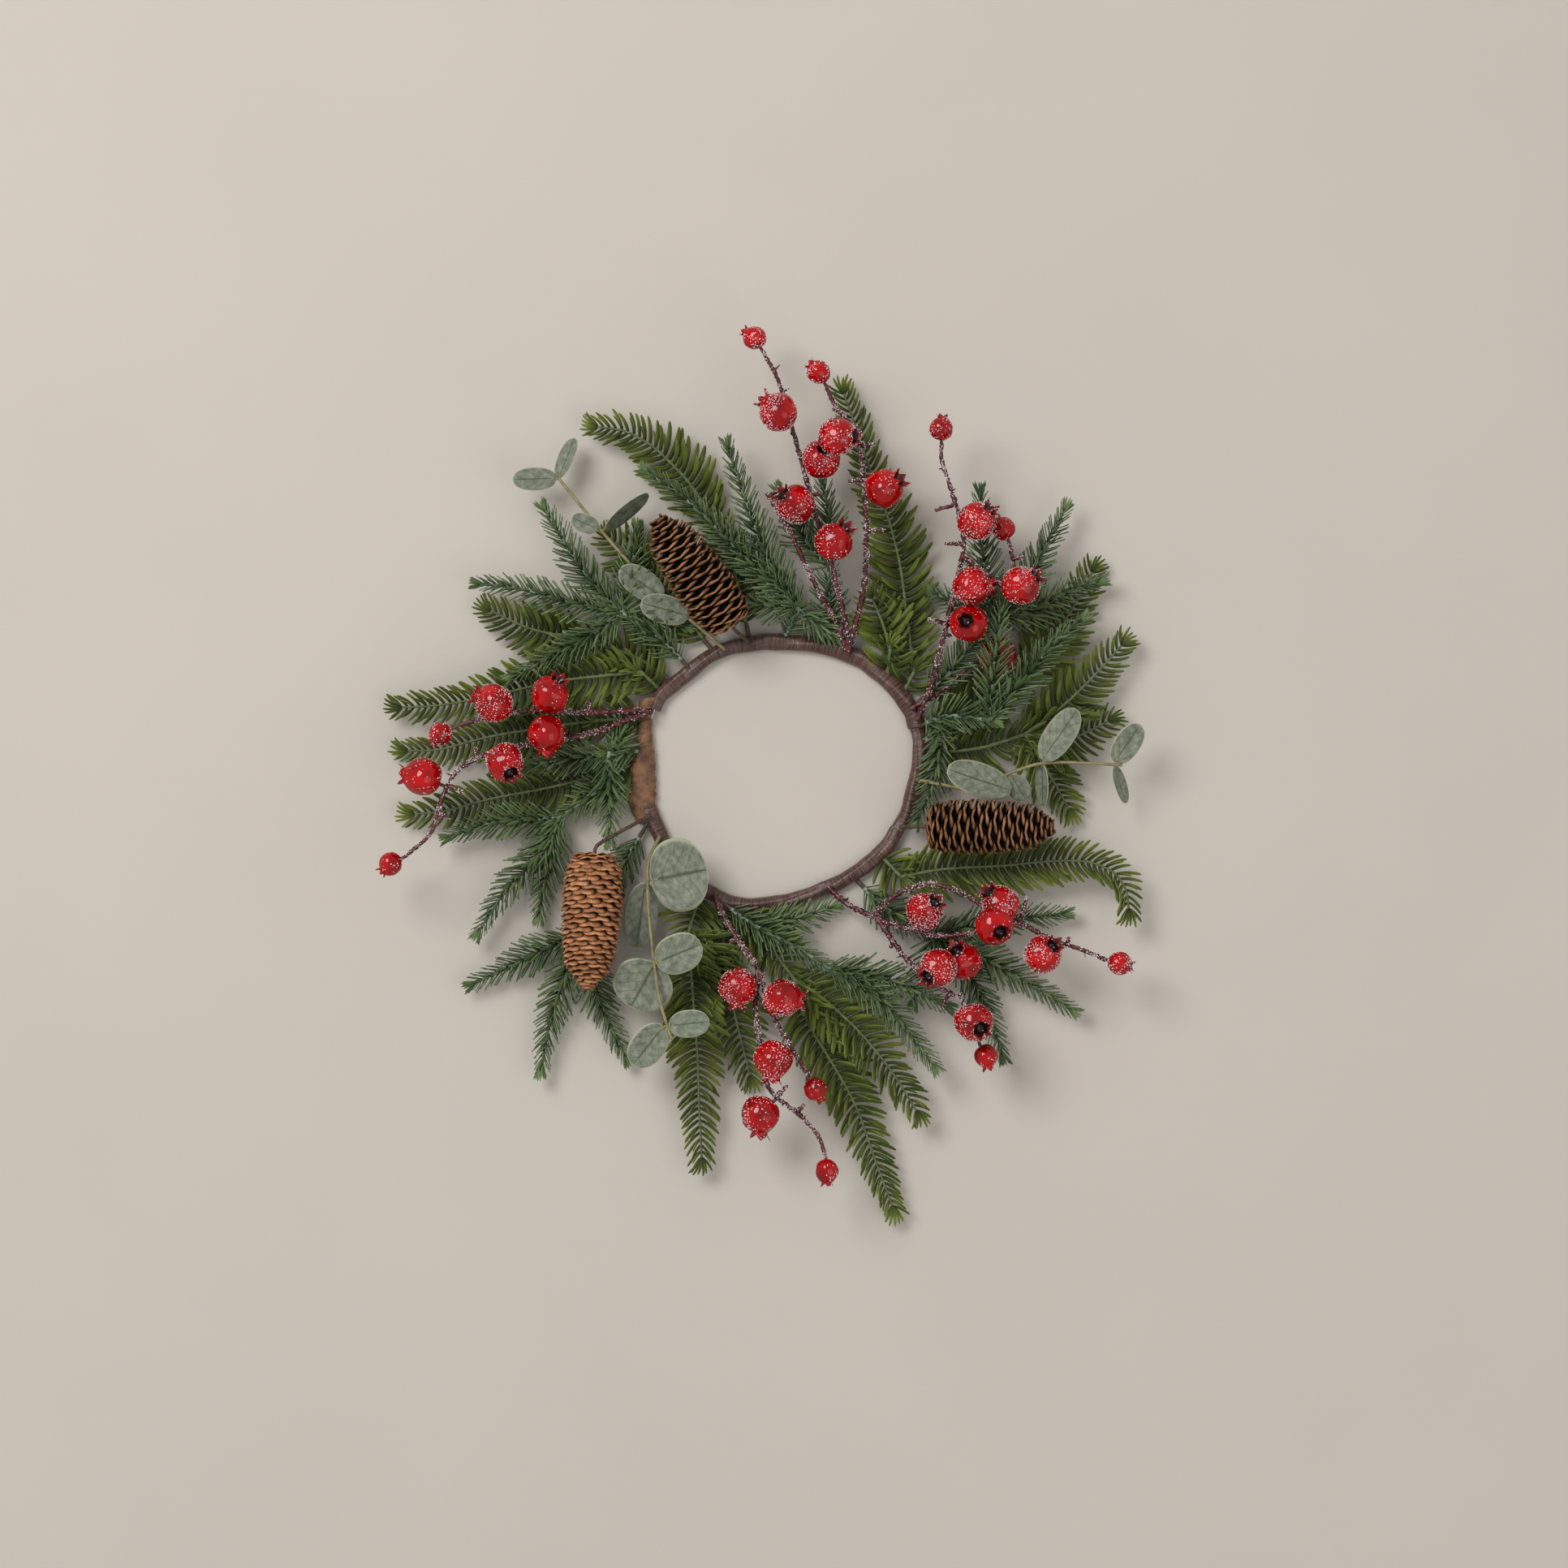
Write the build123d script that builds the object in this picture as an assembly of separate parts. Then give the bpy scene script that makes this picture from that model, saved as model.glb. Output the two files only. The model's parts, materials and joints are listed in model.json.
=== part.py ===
from build123d import *
import math
import os

# Scale of the places: every place is read off the photograph, straight from above
PIXEL = 0.3125
CENTRE_PIXELS = (963.5, 951.5)

# Hoop, windings and binding
HOOP_RADIUS = 1.0
HOOP_HEIGHT = 2.2
WRAP_RADIUS = 2.7
BORE_CLEARANCE = 0.2
BINDING_CLEARANCE = 0.15
BINDING_DEPTH = 0.55
RUN_CLEARANCE = 0.35
OVERRUN = 5.0
TAPE_HALF_HEIGHT = 3.0
TAPE_STEP = 0.35

# Greenery
MOUND_HEIGHT = 40.0
PLATE_THICKNESS = 1.0
PLATE_STEM_HALF_WIDTH = 0.7
GREEN_STEM_RADIUS = 0.8
SPINDLE_RADIUS = 1.3
SPRUCE_NEEDLE = 8.5
SPRUCE_SPACING = 4.2
FIR_NEEDLE = 12.0
FIR_SPACING = 4.6

# Cones
CONE_LENGTH = 54.0
CONE_RADIUS = 12.0
CONE_CORE_RADIUS = 9.0
CONE_WIRE_RADIUS = 0.7
CONE_SOCKET = 3.0
SCALE_THICKNESS = 1.3

# Berries and their stems
BERRY_RADIUS = 7.3
BUD_RADIUS = 4.5
SPRAY_STEM_RADIUS = 0.9
KNUCKLE_RADIUS = 1.15
KNUCKLE_TURNS = (30, 20, 10)
TWIG_RADIUS = 0.6
SOCKET_DEPTH = 2.2
SOCKET_CLEARANCE = 0.12
CROWN_WALL = 0.5

# Eucalyptus
LEAF_THICKNESS = 0.6
EUCALYPTUS_STEM_RADIUS = 0.75
LEAF_GAP = 0.2

# A corner that turns a route by fewer degrees is left out of a wire's path
STRAIGHT_ANGLE = 1.5

# Rise of a leaf from its joint to its tip, against its length
LEAF_TILT_SHARE = 0.16

# Degrees from outward to upward at which the loose stems leave the winding
HINGE_TURN = 85

# Degrees that the needles stand off their stem
SPRUCE_SLANT = 52
FIR_SLANT = 58

# Points taken along a wire to find where its branches join it
SAMPLES = 60

# Corners of the hoop's line, clockwise from the top
HOOP_PIXELS = [
    (945, 791), (985, 792), (1029, 800), (1066, 815), (1099, 844), (1126, 880), (1133, 912),
    (1132, 945), (1124, 976), (1115, 1004), (1095, 1040), (1066, 1068), (1034, 1086),
    (1000, 1101), (965, 1111), (930, 1115), (897, 1110), (864, 1094), (840, 1072), (820, 1042),
    (799, 995), (794, 962), (795, 925), (799, 890), (813, 858), (845, 832), (873, 810), (905, 797),
]

# Windings: first and last corner that each covers, and its radius against the plain one
WRAPS = {
    "thread_wrap_top": {"corners": (0, 2), "radius_share": 1.0},
    "thread_wrap_top_right": {"corners": (3, 5), "radius_share": 1.06},
    "thread_wrap_right": {"corners": (6, 9), "radius_share": 0.92},
    "thread_wrap_lower_right": {"corners": (10, 12), "radius_share": 1.0},
    "thread_wrap_bottom": {"corners": (13, 16), "radius_share": 0.9},
    "thread_wrap_lower_left": {"corners": (17, 19), "radius_share": 1.04},
    "thread_wrap_top_left": {"corners": (24, 27), "radius_share": 0.96},
}
TAPE_CORNERS = (20, 23)

# Edges of the tape's turns: outer edge and inner edge at each height down the photograph
TAPE_PIXELS = [
    (787, 813, 864), (786, 806, 876), (787, 804, 892), (785, 804, 908), (781, 806, 924),
    (776, 808, 942), (773, 808, 960), (772, 809, 980), (777, 808, 996), (786, 813, 1012),
]


def green(kind, bound_pixels, bound_turn, stems, tips):
    return {
        "kind": kind,
        "bound_pixels": bound_pixels,
        "bound_turn": bound_turn,
        "stems": stems,
        "tips": tips,
    }


def run(height_shares, route_pixels):
    return {"height_shares": height_shares, "route_pixels": route_pixels}


GREENS = {
    "spruce_pick_top": green(
        "spruce", (965, 791), 50,
        [run((0.1, 0.3), [(985, 752)])],
        [
            run((0.3, 0.48), [(985, 752), (930, 700), (890, 660), (850, 620), (803, 588)]),
            run((0.3, 0.42), [(985, 752), (945, 690), (930, 650), (912, 600), (899, 558)]),
            run((0.3, 0.15), [(985, 752), (1028, 784)]),
            run((0.3, 0.28), [(985, 752), (928, 745)]),
        ]),
    "fir_pick_top_left": green(
        "fir", (925, 794), 0,
        [run((0.06, 0.14), [(905, 700), (880, 640)])],
        [run((0.14, 0.22), [
            (880, 640), (845, 590), (830, 575), (810, 555), (790, 542), (770, 532), (738, 528)])]),
    "fir_pick_behind_cone": green(
        "fir", (880, 806), 20,
        [run((0.06, 0.12), [(830, 740), (800, 705)])],
        [run((0.12, 0.13), [(800, 705), (752, 664)])]),
    "spruce_pick_upper_left": green(
        "spruce", (852, 827), 60,
        [run((0.08, 0.24), [(820, 790), (768, 756)])],
        [
            run((0.24, 0.34), [(768, 756), (745, 735), (715, 700), (676, 634)]),
            run((0.24, 0.3), [(768, 756), (740, 752), (690, 740), (640, 725), (598, 721)]),
            run((0.24, 0.26), [(768, 756), (720, 790), (680, 810), (638, 832)]),
            run((0.24, 0.14), [(768, 756), (812, 764), (838, 771)]),
            run((0.24, 0.2), [(768, 756), (780, 700), (785, 658)]),
        ]),
    "fir_pick_upper_left": green(
        "fir", (832, 843), 10,
        [run((0.06, 0.1), [(780, 806), (720, 790)])],
        [run((0.1, 0.12), [(720, 790), (650, 775), (606, 753)])]),
    "fir_pick_left_upper": green(
        "fir", (818, 853), -20,
        [run((0.05, 0.16), [(790, 828)])],
        [run((0.16, 0.18), [(790, 828), (680, 840), (600, 860), (540, 870), (497, 872)])]),
    "fir_pick_left_middle": green(
        "fir", (800, 888), -10,
        [run((0.05, 0.1), [(740, 888)])],
        [run((0.1, 0.1), [(740, 888), (680, 895), (600, 908), (540, 925), (504, 925)])]),
    "fir_pick_left_lower": green(
        "fir", (793, 940), -20,
        [run((0.05, 0.1), [(740, 955)])],
        [run((0.1, 0.12), [(740, 955), (680, 970), (600, 985), (550, 1000), (512, 1003)])]),
    "spruce_pick_left": green(
        "spruce", (794, 925), 60,
        [run((0.1, 0.24), [(750, 930)])],
        [
            run((0.24, 0.28), [(750, 930), (700, 934), (652, 944)]),
            run((0.24, 0.17), [(750, 930), (766, 912), (768, 900)]),
            run((0.24, 0.22), [(750, 930), (752, 980), (752, 1028)]),
        ]),
    "spruce_pick_left_lower": green(
        "spruce", (795, 965), 40,
        [run((0.08, 0.18), [(740, 972), (690, 1008)])],
        [
            run((0.18, 0.24), [(690, 1008), (640, 1010), (600, 1015), (560, 1029)]),
            run((0.18, 0.22), [(690, 1008), (660, 1060), (620, 1100), (594, 1143)]),
            run((0.18, 0.14), [(690, 1008), (675, 1070), (666, 1122)]),
        ]),
    "spruce_pick_bottom_left": green(
        "spruce", (806, 1010), 0,
        [run((0.06, 0.14), [(765, 1070), (712, 1150)])],
        [
            run((0.14, 0.14), [(712, 1150), (680, 1165), (620, 1195), (589, 1209)]),
            run((0.14, 0.18), [(712, 1150), (705, 1180), (690, 1220), (675, 1270), (669, 1311)]),
            run((0.14, 0.14), [(712, 1150), (725, 1190), (738, 1230), (755, 1270), (769, 1297)]),
        ]),
    "fir_pick_bottom": green(
        "fir", (866, 1095), 0,
        [run((0.05, 0.16), [(848, 1150)])],
        [
            run((0.16, 0.2), [(848, 1150), (853, 1210), (860, 1300), (862, 1370), (865, 1424)]),
            run((0.16, 0.12), [(848, 1150), (872, 1176), (888, 1200)]),
        ]),
    "fir_pick_bottom_inner": green(
        "fir", (890, 1107), 0,
        [run((0.05, 0.06), [(893, 1180)])],
        [run((0.06, 0.07), [(893, 1180), (905, 1250), (924, 1324)])]),
    "spruce_pick_bottom": green(
        "spruce", (885, 1105), 60,
        [run((0.1, 0.36), [(930, 1140), (980, 1165), (1020, 1190)])],
        [
            run((0.36, 0.4), [(1020, 1190), (1085, 1225), (1120, 1270), (1146, 1306)]),
            run((0.36, 0.36), [(1020, 1190), (1100, 1205), (1160, 1235)]),
            run((0.24, 0.13), [(930, 1140), (980, 1132), (1022, 1118)]),
        ]),
    "fir_pick_bottom_right": green(
        "fir", (910, 1112), 10,
        [run((0.05, 0.18), [(945, 1160), (978, 1205)])],
        [
            run((0.18, 0.26), [(978, 1205), (1010, 1225), (1060, 1270), (1100, 1320), (1128, 1366)]),
            run((0.18, 0.14), [
                (978, 1205), (992, 1255), (1020, 1300), (1055, 1360), (1075, 1420), (1099, 1484)]),
        ]),
    "spruce_pick_lower_right": green(
        "spruce", (1050, 1077), -10,
        [run((0.05, 0.14), [(1090, 1120), (1150, 1150)])],
        [
            run((0.14, 0.16), [(1150, 1150), (1200, 1142), (1260, 1130), (1306, 1126)]),
            run((0.14, 0.2), [(1150, 1150), (1220, 1185), (1270, 1212), (1314, 1240)]),
            run((0.14, 0.14), [(1150, 1150), (1195, 1200), (1215, 1240), (1233, 1294)]),
            run((0.14, 0.12), [(1150, 1150), (1142, 1190), (1128, 1228)]),
        ]),
    "fir_pick_lower_right": green(
        "fir", (1082, 1052), 20,
        [run((0.07, 0.16), [(1110, 1080)])],
        [run((0.16, 0.3), [
            (1110, 1080), (1160, 1070), (1240, 1066), (1290, 1060), (1340, 1060), (1372, 1074),
            (1386, 1096), (1388, 1118)])]),
    "spruce_pick_right": green(
        "spruce", (1130, 896), 75,
        [run((0.1, 0.4), [(1165, 880), (1218, 888)])],
        [
            run((0.4, 0.46), [(1218, 888), (1221, 830), (1228, 780), (1231, 744)]),
            run((0.4, 0.46), [(1218, 888), (1265, 830), (1300, 790), (1326, 770)]),
        ]),
    "spruce_pick_top_right": green(
        "spruce", (1122, 872), 40,
        [run((0.08, 0.22), [(1160, 840), (1222, 765)])],
        [
            run((0.22, 0.26), [(1222, 765), (1212, 700), (1207, 655), (1206, 615)]),
            run((0.22, 0.28), [(1222, 765), (1255, 735), (1275, 695), (1308, 634)]),
            run((0.22, 0.26), [(1222, 765), (1265, 757), (1310, 732), (1348, 720)]),
            run((0.22, 0.2), [(1222, 765), (1185, 750), (1154, 733)]),
        ]),
    "fir_pick_right": green(
        "fir", (1132, 928), 0,
        [run((0.06, 0.14), [(1200, 925), (1262, 905)])],
        [
            run((0.14, 0.2), [(1262, 905), (1310, 870), (1350, 830), (1380, 796)]),
            run((0.14, 0.15), [(1262, 905), (1320, 912), (1364, 889)]),
            run((0.14, 0.11), [(1262, 905), (1290, 950), (1316, 996)]),
        ]),
    "fir_pick_right_back": green(
        "fir", (1131, 900), -10,
        [run((0.05, 0.1), [(1200, 870), (1262, 830)])],
        [run((0.1, 0.1), [(1262, 830), (1310, 770), (1345, 706)])]),
    "spruce_pick_ring_side": green(
        "spruce", (1133, 916), 30,
        [run((0.1, 0.13), [(1160, 892)])],
        [run((0.13, 0.13), [(1160, 892), (1157, 930), (1148, 972), (1132, 1006)])]),
    "fir_pick_top": green(
        "fir", (1108, 856), 20,
        [run((0.07, 0.12), [(1126, 828)])],
        [run((0.12, 0.14), [
            (1126, 828), (1118, 770), (1110, 700), (1095, 640), (1075, 590), (1055, 530), (1040, 487)])]),
    "fir_pick_top_small": green(
        "fir", (1090, 836), 50,
        [run((0.1, 0.18), [(1096, 800)])],
        [run((0.18, 0.18), [(1096, 800), (1088, 770), (1074, 738)])]),
    "spruce_pick_top_back": green(
        "spruce", (1020, 798), 0,
        [run((0.06, 0.22), [(1020, 700)])],
        [
            run((0.22, 0.25), [(1020, 700), (1024, 650), (1014, 600)]),
            run((0.22, 0.23), [(1020, 700), (985, 660), (962, 612)]),
        ]),
}

# Berries: centre and the crown's middle, then the size as a share of a full berry
SPRAYS = {
    "berry_spray_1": {
        "bound_pixels": (1045, 803),
        "stems": [
            run(0.7, [
                (1043, 775), (1036, 745), (1020, 680), (1005, 640), (992, 590), (975, 530), (960, 475),
                (940, 440)]),
            run(0.72, [
                (1052, 775), (1064, 730), (1067, 670), (1064, 600), (1055, 535), (1030, 512), (1017, 482)]),
            run(0.5, [(1028, 765), (1000, 715), (972, 655), (945, 612)]),
        ],
        "branches": [],
        "large_pixels": [
            (959, 516, 940, 500), (1011, 571, 1015, 560), (980, 626, 965, 615), (1027, 671, 1040, 655),
            (1030, 545, 1050, 545), (1087, 607, 1105, 597)],
        "small_pixels": [(930, 424, 912, 412), (1008, 466, 993, 452)],
        "twig_pixels": [(1010, 612), (1076, 553), (1045, 598), (1088, 657), (962, 606)],
    },
    "berry_spray_2": {
        "bound_pixels": (1133, 887),
        "stems": [
            run(0.74, [
                (1146, 850), (1155, 810), (1172, 740), (1187, 670), (1175, 625), (1157, 575), (1157, 553)]),
        ],
        "branches": [
            run(0.6, [(1187, 690), (1215, 712), (1240, 735), (1247, 700), (1240, 672)]),
        ],
        "large_pixels": [
            (1199, 648, 1214, 634), (1194, 725, 1220, 727), (1253, 725, 1270, 714),
            (1191, 770, 1187, 768)],
        "small_pixels": [(1157, 535, 1158, 520), (1233, 655, 1222, 640)],
        "twig_pixels": [(1258, 690), (1150, 634), (1162, 674), (1142, 765), (1170, 785)],
    },
    "berry_pick_right": {
        "bound_pixels": (1126, 870),
        "stems": [run(0.2, [(1160, 852), (1197, 818)])],
        "branches": [],
        "large_pixels": [(1228, 808, 1248, 820)],
        "small_pixels": [],
        "twig_pixels": [],
    },
    "berry_spray_3": {
        "bound_pixels": (802, 877),
        "stems": [
            run(0.66, [(780, 875), (740, 879), (700, 878), (650, 876), (600, 886), (573, 894)]),
            run(0.7, [
                (778, 884), (745, 900), (705, 910), (655, 917), (600, 930), (565, 950), (547, 990),
                (540, 1025), (506, 1054)]),
        ],
        "branches": [],
        "large_pixels": [
            (614, 868, 590, 857), (681, 857, 692, 840), (677, 905, 676, 930), (627, 940, 635, 953),
            (527, 957, 503, 955)],
        "small_pixels": [(548, 905, 538, 917), (488, 1063, 476, 1074)],
        "twig_pixels": [(576, 976), (560, 1006), (590, 922), (728, 862)],
    },
    "berry_spray_4": {
        "bound_pixels": (880, 1104),
        "stems": [
            run(0.62, [(895, 1135), (912, 1160), (938, 1195), (943, 1225), (958, 1260), (980, 1295),
                               (996, 1322)]),
        ],
        "branches": [
            run(0.7, [
                (935, 1192), (930, 1240), (938, 1290), (945, 1340), (985, 1367), (1010, 1395),
                (1017, 1422)]),
        ],
        "large_pixels": [
            (910, 1213, 909, 1237), (964, 1226, 987, 1229), (953, 1300, 951, 1324),
            (937, 1368, 936, 1393)],
        "small_pixels": [(1004, 1337, 1012, 1350), (1018, 1435, 1018, 1450)],
        "twig_pixels": [(970, 1333), (990, 1355), (900, 1160)],
    },
    "berry_spray_5": {
        "bound_pixels": (1020, 1092),
        "stems": [
            run(0.6, [
                (1045, 1115), (1090, 1135), (1150, 1152), (1190, 1150), (1245, 1130), (1290, 1155),
                (1330, 1168), (1358, 1180)]),
        ],
        "branches": [
            run(0.5, [(1075, 1128), (1100, 1102), (1140, 1085), (1185, 1098), (1210, 1118)]),
            run(0.62, [
                (1080, 1132), (1110, 1175), (1150, 1212), (1185, 1228), (1200, 1275)]),
        ],
        "large_pixels": [
            (1138, 1122, 1150, 1110), (1229, 1112, 1215, 1098), (1221, 1138, 1228, 1146),
            (1280, 1173, 1292, 1162), (1184, 1182, 1176, 1168), (1153, 1190, 1140, 1200),
            (1196, 1255, 1204, 1262)],
        "small_pixels": [(1374, 1184, 1388, 1188), (1212, 1297, 1214, 1311)],
        "twig_pixels": [(1262, 1104), (1095, 1165), (1158, 1240), (1313, 1153)],
    },
}

# Cones: place of the base and of the tip, their heights, and where the wire is bound
CONES = {
    "cone_top": {
        "base_pixels": (902, 772), "tip_pixels": (811, 644), "height_shares": (0.5, 0.7),
        "bound_pixels": (925, 794)},
    "cone_right": {
        "base_pixels": (1142, 1018), "tip_pixels": (1297, 1018), "height_shares": (0.46, 0.62),
        "bound_pixels": (1107, 1018)},
    "cone_left": {
        "base_pixels": (735, 1051), "tip_pixels": (727, 1221), "height_shares": (0.5, 0.62),
        "bound_pixels": (803, 1004)},
}

# Eucalyptus: the stem's route, and each leaf's base, tip and width
EUCALYPTUS = {
    "eucalyptus_top": {
        "bound_pixels": (893, 801),
        "stem": run(0.34, [(865, 776), (800, 722), (742, 656), (691, 593)]),
        "upper_leaf_pixels": [
            (688, 592, 634, 594, 27), (739, 654, 706, 640, 22), (818, 738, 765, 702, 34),
            (850, 760, 790, 744, 34)],
        "lower_leaf_pixels": [(690, 592, 710, 542, 17), (746, 654, 799, 609, 6)],
    },
    "eucalyptus_right": {
        "bound_pixels": (1134, 962),
        "stem": run(0.5, [(1200, 975), (1235, 955), (1280, 939), (1330, 940), (1378, 943)]),
        "upper_leaf_pixels": [(1244, 974, 1164, 948, 38), (1281, 937, 1324, 875, 34), (1369, 940, 1400, 893, 30)],
        "lower_leaf_pixels": [(1244, 956, 1262, 985, 26), (1281, 941, 1283, 993, 9), (1369, 944, 1383, 990, 12)],
    },
    "eucalyptus_left": {
        "bound_pixels": (814, 1030),
        "stem": run(0.66, [
            (799, 1060), (799, 1110), (806, 1170), (813, 1225), (829, 1276)]),
        "upper_leaf_pixels": [(803, 1084, 873, 1070, 86), (810, 1184, 866, 1160, 46), (826, 1260, 876, 1254, 32)],
        "lower_leaf_pixels": [(796, 1086, 785, 1168, 38), (809, 1184, 779, 1238, 71), (820, 1260, 782, 1308, 40)],
    },
}


def spot(pixels, height=0.0):
    """A place of the photograph on the table, in the part's own frame."""
    x = (pixels[0] - CENTRE_PIXELS[0]) * PIXEL
    y = (CENTRE_PIXELS[1] - pixels[1]) * PIXEL
    return Vector(x, y, height)


def corner_radius(before, corner, after):
    """The largest arc that both runs at a corner allow."""
    shorter = min((corner - before).length, (after - corner).length)
    turn = math.radians((corner - before).get_angle(after - corner))
    return 0.45 * shorter / math.tan(turn / 2)


def only_turns(points):
    """The points of a route without those that hardly turn it."""
    kept = [points[0]]
    for point, after in zip(points[1:], points[2:]):
        if (point - kept[-1]).get_angle(after - point) > STRAIGHT_ANGLE:
            kept.append(point)
    return kept + [points[-1]]


def smooth_path(points, radii=None):
    """Straight runs joined by tangent arcs, through the corners of a route."""
    if radii is None:
        points = only_turns(points)
        triples = zip(points, points[1:], points[2:])
        radii = [corner_radius(*triple) for triple in triples]
    if len(points) == 2:
        return Polyline(*points)
    return FilletPolyline(*points, radius=radii)


def sampled(points):
    """Close points along the line that a wire really takes."""
    path = smooth_path(points)
    return [path @ (k / SAMPLES) for k in range(SAMPLES + 1)]


def tube(points, radius, radii=None):
    """A round wire along straight runs and tangent arcs."""
    path = smooth_path(points, radii)
    section = Plane(origin=path @ 0, z_dir=path % 0) * Circle(radius)
    return sweep(section, path=path).solid()


def ball(centre, radius):
    """A knuckle, its seam turned away from the wire that runs through it."""
    return Pos(*centre) * Rot(*KNUCKLE_TURNS) * Sphere(radius)


def joined(pieces):
    """One solid of pieces that overlap in a row."""
    result = pieces[0].solid()
    for piece in pieces[1:]:
        result = result.fuse(piece.solid()).solid()
    return result


def hoop_corners():
    return [spot(pixels, HOOP_HEIGHT) for pixels in HOOP_PIXELS]


def hoop_radii():
    corners = hoop_corners()
    count = len(corners)
    return [
        corner_radius(corners[i - 1], corners[i], corners[(i + 1) % count]) for i in range(count)]


def hoop_run(first, last):
    """The hoop's line from half a run before one corner to half a run after another."""
    corners = hoop_corners()
    count = len(corners)
    start = (corners[first - 1] + corners[first]) * 0.5
    end = (corners[last] + corners[(last + 1) % count]) * 0.5
    return [start] + corners[first:last + 1] + [end], hoop_radii()[first:last + 1]


def hoop_point(pixels):
    """The point of the hoop's line nearest to a place, and the way outward there."""
    place = spot(pixels, HOOP_HEIGHT)
    corners = hoop_corners()
    best = None
    for i, corner in enumerate(corners):
        side = corner - corners[i - 1]
        share = (place - corners[i - 1]).dot(side) / side.length ** 2
        point = corners[i - 1] + side * min(max(share, 0), 1)
        if best is None or (place - point).length < (place - best).length:
            best = point
    outward = Vector(best.X, best.Y, 0).normalized()
    return best, outward


def on_winding(pixels, turn, reach):
    """A point at a distance from the hoop's line, turned up from outward by an angle."""
    centre, outward = hoop_point(pixels)
    angle = math.radians(turn)
    return centre + outward * (reach * math.cos(angle)) + Vector(0, 0, reach * math.sin(angle))


def floor_block():
    """What lies under the table's surface, cut from the windings to seat them flat."""
    side = 4 * MOUND_HEIGHT
    return Pos(0, 0, -OVERRUN / 2) * Box(2 * side, 2 * side, OVERRUN)


def hoop_wire():
    corners = hoop_corners()
    first_half, radii_a = hoop_run(0, 13)
    second_half, radii_b = hoop_run(14, len(corners) - 1)
    return tube(first_half, HOOP_RADIUS, radii_a).fuse(tube(second_half, HOOP_RADIUS, radii_b)).solid()


def binding_cuts():
    """The channels through the windings that the bound stems lie in."""
    cuts = []
    for pick in GREENS.values():
        points = green_stem_points(pick)
        way = (points[1] - points[0]).normalized()
        start = points[0] - way * BINDING_CLEARANCE
        length = 3 * WRAP_RADIUS
        channel = Plane(origin=start, z_dir=way) * Cylinder(
            GREEN_STEM_RADIUS + BINDING_CLEARANCE, length, align=(Align.CENTER, Align.CENTER, Align.MIN))
        cuts.append(channel)
    return cuts


def thread_wrap(wrap, cuts):
    points, radii = hoop_run(*wrap["corners"])
    outer = tube(points, WRAP_RADIUS * wrap["radius_share"], radii)
    bore = tube(points, HOOP_RADIUS + BORE_CLEARANCE, radii)
    return outer.cut(bore, floor_block().solid(), *[cut.solid() for cut in cuts]).solid()


def tape_ring(outer_x, inner_x, y, step):
    """One edge of a turn of the tape: an oval standing across the hoop."""
    outer = spot((outer_x, y), HOOP_HEIGHT)
    inner = spot((inner_x, y), HOOP_HEIGHT)
    middle = (outer + inner) * 0.5
    section = Plane(origin=middle, x_dir=(1, 0, 0), z_dir=(0, -1, 0))
    return section * Ellipse((inner - outer).length / 2 + step, TAPE_HALF_HEIGHT + step)


def floral_tape(cuts):
    """The paper tape, wound in overlapping turns, each a little proud of the next."""
    turns = []
    for upper, lower in zip(TAPE_PIXELS, TAPE_PIXELS[1:]):
        turns.append(loft([tape_ring(*upper, TAPE_STEP).face(), tape_ring(*lower, 0).face()], ruled=True))
    body = turns[0].solid().fuse(*[turn.solid() for turn in turns[1:]])
    points, radii = hoop_run(*TAPE_CORNERS)
    before = points[0] - (points[1] - points[0]).normalized() * OVERRUN
    after = points[-1] + (points[-1] - points[-2]).normalized() * OVERRUN
    bore = tube([before] + points[1:-1] + [after], HOOP_RADIUS + BORE_CLEARANCE, radii)
    neighbours = []
    for name in ("thread_wrap_lower_left", "thread_wrap_top_left"):
        share = WRAPS[name]["radius_share"]
        route, bends = hoop_run(*WRAPS[name]["corners"])
        neighbours.append(tube(route, WRAP_RADIUS * share + BORE_CLEARANCE, bends))
    cut = body.cut(bore, floor_block().solid(), *neighbours, *[cut.solid() for cut in cuts])
    return cut.solids().sort_by(SortBy.VOLUME)[-1]


def lengths_along(points):
    """How far each point of a route lies along it in plan, as a share of the whole."""
    total = [0.0]
    for a, b in zip(points, points[1:]):
        total.append(total[-1] + math.hypot(b.X - a.X, b.Y - a.Y))
    return [length / total[-1] for length in total]


def green_stem_points(pick):
    """The bare wire of a pick, from inside the winding to its first fork."""
    stem = pick["stems"][0]
    start = on_winding(pick["bound_pixels"], pick["bound_turn"], WRAP_RADIUS - BINDING_DEPTH)
    points = [start] + [spot(pixels) for pixels in stem["route_pixels"]]
    top = stem["height_shares"][1] * MOUND_HEIGHT
    return rising(points, start.Z, top)


def tilted(tip):
    """A tip's route, laid in one plane that rises from its base to its end."""
    low, high = [share * MOUND_HEIGHT for share in tip["height_shares"]]
    flat = [spot(pixels) for pixels in tip["route_pixels"]]
    chord = flat[-1] - flat[0]

    def raised(point):
        along = (point - flat[0]).dot(chord) / chord.length ** 2
        return Vector(point.X, point.Y, low + (high - low) * along)

    return flat, raised


def station(points, distance):
    """The place at a distance along a route in plan."""
    for a, b in zip(points, points[1:]):
        side = b - a
        if distance <= side.length or b is points[-1]:
            return a + side.normalized() * distance
        distance -= side.length


def heading(points, distance, total, reach):
    """The direction of a route about a place, taken over the reach of a needle."""
    before = station(points, max(distance - reach / 2, 0))
    after = station(points, min(distance + reach / 2, total))
    return (after - before).normalized()


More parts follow.
